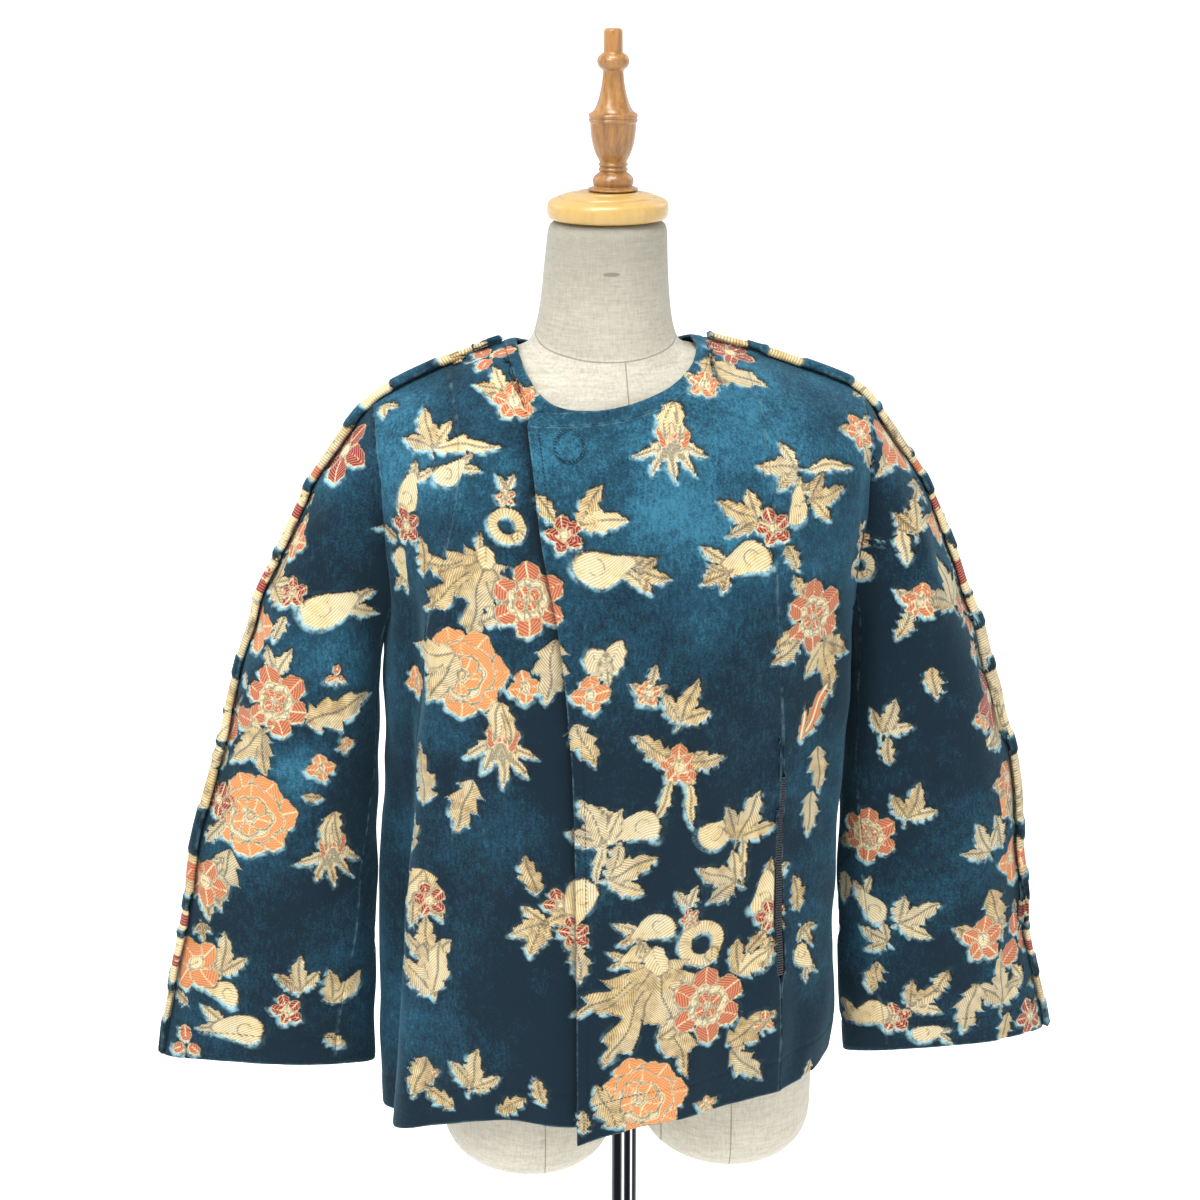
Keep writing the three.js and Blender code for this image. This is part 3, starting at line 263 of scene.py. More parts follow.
# Round a bend of the cloth a motif is spread along the surface, by this much at most
MOST_SPREAD = 1.6


class Layers:
    """What the loom does at each point of a piece of cloth, in mm from the edges of the shapes."""

    def __init__(self, points, normals):
        self.points = points
        self.normals = normals
        count = len(points)
        self.woven = np.full(count, FAR)
        self.petal = np.full(count, FAR)
        self.line = np.full(count, FAR)
        self.hue = np.zeros(count)
        self.hatch = np.zeros(count)
        self.tone = np.zeros(count)


class Spot:
    """The cloth round one motif, in the motif's own mm: x to the right and y up."""

    def __init__(self, layers, centre, normal, turn, reach):
        self.layers = layers
        right = Vector((0, 0, 1)).cross(normal).normalized()
        up = normal.cross(right)
        angle = math.radians(turn)
        side = np.array(right * math.cos(angle) + up * math.sin(angle))
        top = np.array(up * math.cos(angle) - right * math.sin(angle))
        away = (layers.points - np.array(centre)) / MM
        far = np.sqrt((away**2).sum(1))
        facing = layers.normals @ np.array(normal)
        self.rows = np.where((far < reach) & (facing > 0.0))[0]
        near = away[self.rows]
        x, y = near @ side, near @ top
        spread = np.minimum(far[self.rows] / np.maximum(np.hypot(x, y), 1e-6), MOST_SPREAD)
        start = centre.x * 190 + centre.z * 130
        sway = 0.5 + 0.006 * reach
        self.x = x * spread + sway * np.sin(y * 0.19 + start)
        self.y = y * spread + sway * np.sin(x * 0.17 + 2 * start)

    def at(self, x, y, turn):
        """The points as seen from a place in the motif, turned to the left."""
        angle = math.radians(turn)
        dx, dy = self.x - x, self.y - y
        return dx * math.cos(angle) + dy * math.sin(angle), dy * math.cos(angle) - dx * math.sin(angle)

    def lay(self, distance, hatch, line, tone, hue=None):
        """One shape on top of what is there. Its distance is negative inside."""
        cloth, rows = self.layers, self.rows
        old = cloth.woven[rows]
        inside = distance < 0.7
        outline = np.where(old < 0, np.abs(distance) - 0.5, FAR)
        cloth.line[rows] = np.where(inside, np.minimum(line, outline), np.minimum(cloth.line[rows], outline))
        if hue is None:
            cloth.petal[rows] = np.maximum(cloth.petal[rows], -distance)
        else:
            within = distance + 0.9
            cloth.petal[rows] = np.where(inside, within, np.minimum(cloth.petal[rows], within))
            cloth.hue[rows] = np.where(distance < 2.5, hue, cloth.hue[rows])
        cloth.hatch[rows] = np.where(inside, hatch, cloth.hatch[rows])
        cloth.tone[rows] = np.where(inside, tone, cloth.tone[rows])
        cloth.woven[rows] = np.minimum(old, distance)

    def leaf(self, x, y, turn, length, width=0.25, lobes=0.4, bend=0.0, hue=None, tone=0.6):
        across, along = self.at(x, y, turn)
        share = np.clip(along / length, 0, 1)
        across = across - bend * length * share**2
        half = width * length * np.sin(np.pi * share**0.78) ** 0.8
        half = half * (1 - lobes * (1 - np.mod(share * 3.4 + 0.25, 1.0)))
        over = np.maximum(np.maximum(-along, along - length), 0)
        beside = np.abs(across) - half
        distance = np.where(over > 0, np.hypot(over, np.maximum(beside, 0)), beside * 0.85)
        rib = np.where(share < 0.93, np.abs(across) - 0.8, FAR)
        self.lay(distance, along * 0.8 + np.abs(across), rib, tone, hue)

    def oval(self, x, y, turn, wide, tall, hue=None, tone=0.8):
        across, along = self.at(x, y, turn)
        frill = 1 + 0.05 * np.cos(7 * np.arctan2(across, along))
        distance = (np.hypot(across / wide, along / tall) / frill - 1) * min(wide, tall)
        line = np.where(along > -0.5 * tall, np.abs(across) - 0.35, FAR)
        self.lay(distance, along * 0.8 + np.abs(across) * 0.7, line, tone, hue)

    def pear(self, x, y, turn, wide, tall, tone=0.8):
        """A plump shape, narrow at the top, with a curl in it."""
        across, along = self.at(x, y, turn)
        share = np.clip((along / tall + 1) / 2, 0, 1)
        across = across - 0.22 * wide * np.sin(np.pi * share * 1.4)
        distance = (np.hypot(across / (wide * (1.12 - 0.62 * share)), along / tall) - 1) * wide * 0.8
        far = np.hypot(across + 0.1 * wide, along + 0.3 * tall)
        angle = np.arctan2(along + 0.3 * tall, across + 0.1 * wide)
        curl = np.where(angle > -1.2, np.abs(far - 0.42 * wide) - 0.45, FAR)
        self.lay(distance, along * 0.6 + across * 0.9, curl, tone)

    def ring(self, x, y, radius, thick, tone=0.75):
        far = np.hypot(self.x - x, self.y - y)
        turn = np.arctan2(self.y - y, self.x - x) * radius
        self.lay(np.abs(far - radius) - thick / 2, turn, np.full(len(far), FAR), tone)

    def round_of(self, count, radius, wide, tall, start=0.0, hue=None, tone=0.8, centre=(0.0, 0.0)):
        """Petals in a ring, each pointing out."""
        for k in range(count):
            turn = start + 360 * k / count
            x = centre[0] - radius * math.sin(math.radians(turn))
            y = centre[1] + radius * math.cos(math.radians(turn))
            size = 1 + 0.14 * math.sin(2.3 * k * k + 1)
            self.oval(x, y, turn + 9 * math.sin(5 * k), wide * size, tall * size, hue, tone)


PEACH, CORAL, CRIMSON = 0.0, 1.0, 2.0


def blossom(spot, size):
    spot.round_of(5, 0.56 * size, 0.36 * size, 0.46 * size, 15, CRIMSON)
    spot.oval(0, 0, 0, 0.24 * size, 0.24 * size, tone=1.0)


def petals4(spot, size):
    spot.leaf(0, 0, 62, 1.5 * size, 0.3)
    spot.leaf(0, 0, -68, 1.5 * size, 0.3)
    spot.round_of(5, 0.52 * size, 0.4 * size, 0.5 * size, 0, CORAL - 0.25)
    spot.oval(0, 0, 0, 0.26 * size, 0.32 * size, tone=1.0)


def rose(spot, size):
    spot.round_of(7, 0.62 * size, 0.4 * size, 0.38 * size, 20, PEACH)
    spot.oval(0, 0, 0, 0.72 * size, 0.7 * size, PEACH)
    spot.oval(-0.05 * size, -0.1 * size, 20, 0.55 * size, 0.52 * size, tone=0.95)
    spot.round_of(5, 0.27 * size, 0.24 * size, 0.22 * size, 40, PEACH, centre=(-0.05 * size, -0.06 * size))
    spot.oval(-0.05 * size, -0.06 * size, 0, 0.17 * size, 0.17 * size, tone=0.9)
    spot.oval(-0.04 * size, -0.04 * size, 0, 0.09 * size, 0.09 * size, PEACH + 0.3)


def peony(spot, size):
    spot.leaf(-0.5 * size, -0.2 * size, 120, 1.0 * size, 0.3)
    spot.round_of(6, 0.68 * size, 0.34 * size, 0.34 * size, 0, CORAL)
    spot.round_of(7, 0.36 * size, 0.22 * size, 0.2 * size, 10, tone=1.0)
    spot.oval(0, 0, 0, 0.34 * size, 0.34 * size, tone=0.95)
    spot.round_of(4, 0.24 * size, 0.19 * size, 0.17 * size, 30, CORAL)
    spot.oval(0, 0.02 * size, 0, 0.1 * size, 0.1 * size, tone=1.0)


def bud(spot, size):
    for turn, length in ((-62, 0.62), (-30, 0.6), (62, 0.55), (32, 0.62), (2, 0.66)):
        spot.leaf(0, 0.02 * size, turn, length * size, 0.16, tone=0.75)
    spot.oval(0, -0.02 * size, 0, 0.23 * size, 0.27 * size, CORAL)
    for turn in (-28, 0, 28):
        spot.leaf(0, 0.05 * size, turn, 0.34 * size, 0.16, tone=0.9)
    spot.leaf(0, -0.52 * size, 24, 0.6 * size, 0.22, bend=0.25, tone=0.7)
    spot.leaf(0, -0.52 * size, -24, 0.6 * size, 0.22, bend=-0.25, tone=0.8)


def leaf(spot, size):
    spot.leaf(0, 0, 0, size, 0.3, lobes=0.5, tone=0.55)


def pair(spot, size):
    spot.leaf(0, 0, 30, 0.95 * size, 0.28, tone=0.6)
    spot.leaf(0, 0, -26, size, 0.28, tone=0.8)


def fork(spot, size):
    spot.leaf(0, 0, 52, 0.8 * size, 0.28, tone=0.5)
    spot.leaf(0, 0, -50, 0.76 * size, 0.28, tone=0.7)
    spot.leaf(0, 0, 2, 1.05 * size, 0.25, tone=0.6)
    spot.leaf(0, 0.1 * size, 178, 0.35 * size, 0.12, tone=0.8)


def heart(spot, size):
    spot.oval(-0.2 * size, 0.55 * size, 25, 0.27 * size, 0.4 * size, tone=0.8)
    spot.oval(0.2 * size, 0.6 * size, -20, 0.27 * size, 0.42 * size, tone=0.8)
    spot.leaf(0, 0.75 * size, 180, 0.9 * size, 0.2, tone=0.8)


def plump(spot, size):
    spot.leaf(0.1 * size, 0.55 * size, -34, 1.05 * size, 0.25, tone=0.7)
    spot.leaf(0, 0.55 * size, 18, 0.95 * size, 0.25, tone=0.6)
    spot.pear(0, 0, 0, 0.62 * size, 0.95 * size, tone=0.85)


def arm(spot, size):
    spot.leaf(0, 0, 0, size, 0.13, bend=0.16, tone=0.85)


def ring(spot, size):
    spot.ring(0, 0, 0.72 * size, 0.52 * size)
    spot.oval(0.5 * size, -0.55 * size, 0, 0.3 * size, 0.3 * size, tone=0.7)


def diamond(spot, size):
    spot.round_of(4, 0.42 * size, 0.45 * size, 0.55 * size, 8, PEACH + 0.45)
    spot.oval(0, 0, 0, 0.2 * size, 0.3 * size, tone=1.0)


def flame(spot, size):
    spot.leaf(0, 0, 0, size, 0.2, hue=CORAL - 0.45)
    spot.leaf(0, -0.1 * size, 28, 0.7 * size, 0.14, hue=CORAL - 0.2)


def berries(spot, size):
    spot.leaf(0, 0, 180, 0.9 * size, 0.08, tone=0.8)
    spot.round_of(3, 0.55 * size, 0.34 * size, 0.44 * size, 0, CORAL)


def acanthus(spot, size):
    for turn, length, bend in ((120, 0.8, 0.22), (208, 0.92, -0.18), (146, 1.0, 0.12), (176, 1.04, -0.05)):
        spot.leaf(0, 0, turn, length * size, 0.24, lobes=0.7, bend=bend, tone=0.55)
    spot.leaf(0, -0.02 * size, 20, 0.3 * size, 0.2, tone=0.7)
    spot.oval(0.02 * size, 0, 0, 0.1 * size, 0.13 * size, tone=0.8)


DRAW = {
    "blossom": blossom,
    "petals4": petals4,
    "rose": rose,
    "peony": peony,
    "bud": bud,
    "leaf": leaf,
    "pair": pair,
    "fork": fork,
    "heart": heart,
    "plump": plump,
    "arm": arm,
    "ring": ring,
    "diamond": diamond,
    "flame": flame,
    "berries": berries,
    "acanthus": acanthus,
}
# Small motifs beside the welts, one after the other
WELT_MOTIFS = ["fork", "blossom", "leaf", "petals4", "pair", "diamond", "leaf", "berries"]


def cloth_tree():
    """All the cloth of the frame, to place motifs on."""
    points, faces = [], []
    for name in CLOTH:
        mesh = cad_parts[name].data
        start = len(points)
        points += [v.co.copy() for v in mesh.vertices]
        faces += [[start + k for k in p.vertices] for p in mesh.polygons]
    return BVHTree.FromPolygons(points, faces)


def placed_motifs():
    """Each motif with its place and direction on the cloth. The back is the mirror image of the front."""
    tree = cloth_tree()
    placed = []
    for kind, x, z, turn, size in MOTIFS:
        for side in (-1, 1):
            across = x if side < 0 else -x + BACK_SHIFT[0]
            start = Vector((across * MM, side * 1.0, (z if side < 0 else z + BACK_SHIFT[1]) * MM))
            hit, normal, _, _ = tree.ray_cast(start, Vector((0, -side, 0)))
            if hit is not None and normal.dot(start - hit) > 0:
                placed.append((kind, hit, normal, turn, size))
    for side in (-1, 1):
        low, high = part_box("overarm_welt_left" if side > 0 else "overarm_welt_right")
        for k in range(WELT_STEPS):
            z = low.z + (high.z - low.z) * (k + 0.5) / WELT_STEPS
            hit, normal, _, _ = tree.ray_cast(Vector((side * 1.0, -0.02, z)), Vector((-side, 0, 0)))
            if hit is not None:
                kind = WELT_MOTIFS[(3 * k + side) % len(WELT_MOTIFS)]
                placed.append((kind, hit, normal, 65 * k, 16 + 5 * (k % 3)))
    return placed


# How far the back's pattern is moved, across and up in mm, and the number of motifs beside a welt
BACK_SHIFT = (24, -12)
WELT_STEPS = 17
MOTIF_PLACES = placed_motifs()


def pattern_on(points, normals, scale):
    """All the motifs that reach a piece of cloth, laid in the order of the table."""
    layers = Layers(points, normals)
    for kind, centre, normal, turn, size in MOTIF_PLACES:
        spot = Spot(layers, centre, normal, turn, size * scale * 1.75 + 6)
        if len(spot.rows):
            DRAW[kind](spot, size * scale)
    return layers


def new_object(name, mesh):
    piece = bpy.data.objects.new(name, mesh)
    bpy.context.scene.collection.objects.link(piece)
    return piece


def from_bmesh(name, bm):
    mesh = bpy.data.meshes.new(name)
    bm.to_mesh(mesh)
    bm.free()
    mesh.shade_smooth()
    return new_object(name, mesh)


def applied(piece):
    """The piece with its modifiers made real."""
    bpy.context.view_layer.update()
    graph = bpy.context.evaluated_depsgraph_get()
    mesh = bpy.data.meshes.new_from_object(piece.evaluated_get(graph))
    old = piece.data
    piece.modifiers.clear()
    piece.data = mesh
    bpy.data.meshes.remove(old)
    return piece


def subdivided(piece, rounds):
    smoothing = piece.modifiers.new("smooth", "SUBSURF")
    smoothing.levels = smoothing.render_levels = rounds
    smoothing.boundary_smooth = "PRESERVE_CORNERS"
    return applied(piece)


def node_shell(node):
    """A frame node as one clean shell of quads."""
    bm = bmesh.new()
    bm.from_mesh(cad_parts[node].data)
    bmesh.ops.remove_doubles(bm, verts=bm.verts, dist=1e-5)
    return bm


# A wall has its inner side within this many mm
WALL_REACH = 4.6
# Points closer than this are made one, on trim and on other cloth, in mm
CLOSE_ON_TRIM, CLOSE = 0.6, 1.6
# A front also keeps its other patches that face out at least so squarely and are larger than this, in mm2
SQUARELY, SMALL_PATCH = 0.6, 6
# Middle line of the jacket: place across, and height above which it ends, in m
MIDDLE, CHEST = -0.008, 1.16
# Middle line of a sleeve: place across at the elbow and shift up to the shoulder, and both heights, in m
ELBOW_ACROSS, SHOULDER_SHIFT, ELBOW_UP, UPPER_ARM = 0.268, 0.19, 0.95, 0.35


def is_trim(node):
    return node.startswith(("overarm", "snap", "neck"))


def goes_on(edge, node):
    """Whether the outer side goes on over an edge: a soft bend, a long fold or a welt's ridge."""
    angle = math.degrees(edge.calc_face_angle())
    if is_trim(node):
        return angle < 75
    return angle < 38 or (angle < 60 and edge.calc_length() > 35 * MM)


def outer_side(node):
    """The outer side of a cloth wall: faces with cloth close behind, on the side away from the wearer."""
    bm = node_shell(node)
    bm.faces.ensure_lookup_table()
    tree = BVHTree.FromBMesh(bm)
    wall = set()
    for face in bm.faces:
        start = face.calc_center_median() - face.normal * 0.05 * MM
        if tree.ray_cast(start, -face.normal, WALL_REACH * MM)[0] is not None:
            wall.add(face.index)
    patches = []
    while wall:
        grow = [min(wall)]
        wall.discard(grow[0])
        patch = []
        while grow:
            face = bm.faces[grow.pop()]
            patch.append(face.index)
            for edge in face.edges:
                if len(edge.link_faces) == 2 and goes_on(edge, node):
                    for other in edge.link_faces:
                        if other.index in wall:
                            wall.discard(other.index)
                            grow.append(other.index)
        patches.append(patch)
    middle = core_of(node)

    def facing(patch):
        """How squarely a patch faces out, from -1 to 1, and its area."""
        area = total = 0.0
        for k in patch:
            face = bm.faces[k]
            centre = face.calc_center_median()
            area += face.calc_area()
            total += face.calc_area() * face.normal.dot((centre - middle(centre)).normalized())
        return total / area, area

    largest = max(patches, key=lambda patch: facing(patch)[0] * facing(patch)[1])
    keep = set(largest)
    for patch in patches:
        squarely, area = facing(patch)
        if node.startswith("front") and squarely > SQUARELY and area > SMALL_PATCH * MM * MM:
            keep.update(patch)
    bmesh.ops.delete(bm, geom=[f for f in bm.faces if f.index not in keep], context="FACES")
    bmesh.ops.remove_doubles(bm, verts=bm.verts, dist=(CLOSE_ON_TRIM if is_trim(node) else CLOSE) * MM)
    limits = {"angle_face_threshold": math.radians(60), "angle_shape_threshold": math.radians(85)}
    bmesh.ops.join_triangles(bm, faces=bm.faces, **limits)
    return bm


def core_of(node):
    """The line inside the jacket that a piece of cloth faces away from."""
    if not node.startswith("sleeve"):
        return lambda p: Vector((MIDDLE, 0, min(p.z, CHEST)))
    side = 1 if node.endswith("left") else -1

    def arm(p):
        across = ELBOW_ACROSS - SHOULDER_SHIFT * max(0.0, (p.z - ELBOW_UP)) / UPPER_ARM
        return Vector((side * across + MIDDLE, 0, p.z - 0.01))

    return arm


def arrays(mesh):
    """The places and normals of a mesh's points."""
    count = len(mesh.vertices)
    points, normals = np.zeros(count * 3), np.zeros(count * 3)
    mesh.vertices.foreach_get("co", points)
    mesh.vertex_normals.foreach_get("vector", normals)
    return points.reshape(-1, 3), normals.reshape(-1, 3)


def split_long_edges(piece, longest):
    """Splits the edges that are longer than this many mm, twice at most."""
    bm = bmesh.new()
    bm.from_mesh(piece.data)
    for _ in range(2):
        edges = [e for e in bm.edges if e.calc_length() > longest * MM]
        if edges:
            bmesh.ops.subdivide_edges(bm, edges=edges, cuts=1, use_grid_fill=True)
    bm.to_mesh(piece.data)
    bm.free()


def border(mesh):
    """The points on the piece's border, and the direction of the border there."""
    bm = bmesh.new()
    bm.from_mesh(mesh)
    rows, ways = [], []
    for edge in bm.edges:
        if edge.is_boundary:
            way = (edge.verts[1].co - edge.verts[0].co).normalized()
            for vert in edge.verts:
                rows.append(vert.index)
                ways.append(way)
    bm.free()
    return np.array(rows, int), np.array(ways).reshape(-1, 3)


def nearest(points, targets):
    """Distance in mm from each point to the nearest target."""
    if not len(targets):
        return np.full(len(points), 99.0)
    tree = KDTree(len(targets))
    for k, target in enumerate(targets):
        tree.insert(target, k)
    tree.balance()
    return np.array([tree.find(point)[2] for point in points]) / MM


# Hem and cuffs lie below this height, and the edge of the lap beyond this place across, in m
ENDS_BELOW, LAP_BEYOND = 0.772, -0.03


def stitches(name, points, rows, ways, sizes):
    """Distance in mm from the piece's rows of stitches."""
    edge = points[rows]
    level = np.abs(ways[:, 2]) < 0.6
    low = edge[:, 2] < ENDS_BELOW
    found = np.full(len(points), FAR)
    ends = nearest(points, edge[level & low])
    if name.startswith(("front", "side_front", "back")):
        found = np.minimum(found, np.abs(ends - sizes.hem_stitch / MM))
    if name.startswith("sleeve"):
        found = np.minimum(found, np.abs(ends - sizes.cuff_stitch / MM))
    if name == "front_left":
        lap = nearest(points, edge[~level & (edge[:, 0] < LAP_BEYOND)])
        found = np.minimum(found, np.abs(lap - sizes.lap_stitch / MM))
    return found


def brushed_and_lit(points):
    """How bright the pile is at each point, from 0 to 1: brushed up pile and painted highlight, and on the
    back a painted highlight that grows towards the top.
    """
    x, z = points[:, 0] / MM, points[:, 2] / MM
    total = np.zeros(len(points))
    for across, up, radius, amount in BRUSHED_AND_LIT:
        total = np.maximum(total, amount * np.exp(-(((x - across) / radius) ** 2) - ((z - up) / radius) ** 2))
    behind = np.clip(points[:, 1] / 0.06, 0, 1)
    high = np.clip((z - 1080) / 160, 0, 1)
    return total * (1 - behind) + behind * (0.25 + 0.5 * high)


# How far the swells and the smaller dents move the cloth, in mm
SWELL, DENT = 4.2, 2.2


def folds(points):
    """How far the soft dents and swells carry each point, in m. The pieces move as one, so no seam opens."""
    swell = [noise.noise(Vector((p[0] * 17, p[1] * 17, p[2] * 9))) for p in points]
    dent = [noise.noise(Vector((p[0] * 42 + 5, p[1] * 42, p[2] * 24))) for p in points]
    ways = points * np.array((1.0, 2.5, 0.0))
    ways /= np.linalg.norm(ways, axis=1)[:, None] + 1e-9
    return ways * ((SWELL * np.array(swell) + DENT * np.array(dent)) * MM)[:, None]


def facing_down(mesh, points, normals, distance):
    """How far the nearest edge of the pattern faces down and to the side, towards the painted light, from -1
    to 1.
    """
    ends = np.zeros(len(mesh.edges) * 2, int)
    mesh.edges.foreach_get("vertices", ends)
    first, second = ends.reshape(-1, 2).T
    way = points[second] - points[first]
    rise = (distance[second] - distance[first])[:, None] * way / (way**2).sum(1)[:, None]
    slope = np.zeros_like(points)
    np.add.at(slope, first, rise)
    np.add.at(slope, second, rise)
    slope -= normals * (slope * normals).sum(1)[:, None]
    slope /= np.linalg.norm(slope, axis=1)[:, None] + 1e-9
    return slope @ np.array(PAINTED_LIGHT_SIDE)


# Pattern edges that face this way, down and towards the wearer's right, get a painted highlight, and edges
# facing away get painted shade
PAINTED_LIGHT_SIDE = (-0.55, 0.0, -0.835)


def set_numbers(mesh, **layers):
    """Stores numbers on the mesh's points, for its material."""
    for name, numbers in layers.items():
        spot = mesh.attributes.new(name, "FLOAT", "POINT")
        spot.data.foreach_set("value", np.asarray(numbers, np.float32))


# Sewn pieces meet: each edge goes this far, in mm, into the gap that the solids keep
SEAM_CLOSING = 0.19


def turn_in_edges(piece, depth, turned):
    """The cloth's edge, turned in over its thickness and then behind the face."""
    bm = bmesh.new()
    bm.from_mesh(piece.data)
    bm.normal_update()
    inward = {}
    for edge in bm.edges:
        if edge.is_boundary:
            face = edge.link_faces[0]
            middle = (edge.verts[0].co + edge.verts[1].co) / 2
            along = (edge.verts[1].co - edge.verts[0].co).normalized()
            way = face.normal.cross(along)
            if way.dot(face.calc_center_median() - middle) < 0:
                way = -way
            for vert in edge.verts:
                inward[vert] = inward.get(vert, Vector()) + way
    ups = {vert: vert.normal.copy() for vert in inward}
    for vert in inward:
        vert.co -= inward[vert].normalized() * SEAM_CLOSING * MM
    rim = [e for e in bm.edges if e.is_boundary]
    source = {vert: vert for vert in inward}
    for drop, back in ((depth, 0.0), (0.0, turned)):
        made = bmesh.ops.extrude_edge_only(bm, edges=rim)["geom"]
        rim = [g for g in made if isinstance(g, bmesh.types.BMEdge) and g.is_boundary]
        found = {}
        for vert in (g for g in made if isinstance(g, bmesh.types.BMVert)):
            root = next(source[e.other_vert(vert)] for e in vert.link_edges if e.other_vert(vert) in source)
            found[vert] = root
            vert.co += inward[root].normalized() * back - ups[root] * drop
        source = found
    bm.to_mesh(piece.data)
    bm.free()
    piece.data.shade_smooth()


def stand_for(piece, node, slot):
    """The piece shows in place of a node of the frame."""
    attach(piece, "root")
    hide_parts(node)


def weave_welt(layers, points):
    """The welts show the pattern in short stretches, cream, coral and crimson, with pile between."""
    along = (0.9 * np.abs(points[:, 0]) - points[:, 2]) / MM
    stretch = along / 58 + 0.3 * np.sin(along / 41)
    share = np.abs(np.mod(stretch, 1.0) - 0.5) * 2
    turn = np.mod(np.floor(stretch) * 3, 7)
    warm = np.where(turn == 2, CORAL, np.where((turn == 5) | (turn == 1), CRIMSON, -1))
    layers.woven[:] = np.minimum(layers.woven, (share - 0.46) * 22)
    layers.hue[:] = np.maximum(warm, 0)
    layers.petal[:] = np.where(warm >= 0, (share - 0.26) * 22, FAR)
    layers.hatch[:] = along * 0.8
    layers.tone[:] = 0.6 + 0.3 * np.mod(turn, 2)


def lap_edge():
    """Points down the front edge that laps over."""
    bm = outer_side("front_left")
    found = []
    for edge in bm.edges:
        first, second = (v.co.copy() for v in edge.verts)
        upright = edge.is_boundary and abs((second - first).normalized().z) > 0.6
        if upright and max(first.x, second.x) < LAP_BEYOND and max(first.z, second.z) < LAP_TOP * MM:
            found += [first.lerp(second, k / 12) for k in range(13)]
    bm.free()
    return np.array(found)


# Height in mm where the lap ends at the neck band
LAP_TOP = 1284
LAP_EDGE = lap_edge()


def armhole_distance(name, points, rows):
    """Distance in mm of the sleeve from the edge that is sewn to the body."""
    side = 1 if name.endswith("left") else -1
    edge = points[rows]
    return nearest(points, edge[(edge[:, 0] * side < 0.2) & (edge[:, 2] > 1.0)])


# How deep the face sinks at a seam and along stitches, and how wide at stitches, in mm
SEAM_SINKS, STITCH_SINKS, STITCH_WIDTH = 0.35, 0.55, 1.3
# How far the lap's edge stands out, and how wide the rise to it is, in mm
LAP_STANDS, LAP_RISE = 2.6, 16
# How much painted shade darkens the pile beside the armhole seam and beside the lap, and how far from them it
# reaches, in mm
ARMHOLE_SHADE, ARMHOLE_REACH, LAP_SHADE, LAP_REACH = 0.45, 22, 0.8, 10
# Width of the shadow beside the lap, in mm
LAP_SHADOW = 4.6


def cloth_piece(name, sizes):
    """One sewn piece: its outer face with the woven pattern, the raised pile and the turned-in edge."""
    rounds, longest, (width, length, area) = CLOTH[name]
    piece = subdivided(from_bmesh(name + "_cloth", outer_side(name)), rounds)
    split_long_edges(piece, longest)
    mesh = piece.data
    points, normals = arrays(mesh)
    rows, ways = border(mesh)
    rim = nearest(points, points[np.unique(rows)])
    sewn = stitches(name, points, rows, ways, sizes)
    welt = name.startswith("overarm_welt")
    layers = pattern_on(points, normals, sizes.motif_scale)
    if welt:
        weave_welt(layers, points)
    if name == "snap_cover":
        layers = Layers(points, normals)
        sewn = np.abs(rim - 1.1) * 0.6

    pile = np.clip((layers.woven + 0.3) / 1.3, 0, 1)
    pile = pile * pile * (3 - 2 * pile)
    edge = np.clip(rim / (sizes.edge_roll / MM), 0, 1)
    lift = sizes.pile / MM * pile - SEAM_SINKS * (1 - edge) ** 2
    lift = lift - STITCH_SINKS * np.exp(-((sewn / STITCH_WIDTH) ** 2))
    # The nap numbers: the pile's brushing and painted highlight, with painted shade added below beside the
    # armhole and the lap
    nap = brushed_and_lit(points)
    tuck = np.zeros(len(points))
    if name == "front_left":
        lift = lift + LAP_STANDS * np.exp(-((nearest(points, LAP_EDGE) / LAP_RISE) ** 2))
    if welt:
        lift = lift + sizes.welt_swell / MM * np.sqrt(np.clip(rim / 5, 0, 1))
    # Painted shade on the sleeve beside the armhole seam
    if name.startswith("sleeve"):
        nap = nap - ARMHOLE_SHADE * np.exp(-armhole_distance(name, points, rows) / ARMHOLE_REACH)
    # Painted shade and a painted shadow on the front beside the lap's edge
    if name == "front_right":
        lap = nearest(points, LAP_EDGE)
        nap = nap - LAP_SHADE * np.exp(-lap / LAP_REACH)
        tuck = np.exp(-((lap / LAP_SHADOW) ** 4))

    moved = points + normals * (lift * MM)[:, None] + folds(points)
    mesh.vertices.foreach_set("co", moved.ravel())
    woven = {key: getattr(layers, key) for key in ("woven", "petal", "line", "hue", "hatch", "tone")}
    lean = facing_down(mesh, points, normals, layers.woven)
    set_numbers(mesh, **woven, nap=nap, tuck=tuck, lean=lean, rim=rim, stitch=sewn)
    mesh.update()
    turn_in_edges(piece, sizes.welt_foot if welt else sizes.thickness, sizes.turned_edge)
    piece.data.materials.append(FINISHES["velvet"]())
    stand_for(piece, name, "velvet_jacquard")


FINISHES = {}


def finish_once(name):
    """Keeps one material for all the pieces that share it."""

    def keep(make):
        made = {}

        def once():
            if "material" not in made:
                made["material"] = make()
            return made["material"]

        FINISHES[name] = once
        return once

    return keep


def picked(name):
    """A colour from the settings, for a material."""
    return tuple(getattr(bpy.context.scene.jacket_colours, name)) + (1.0,)


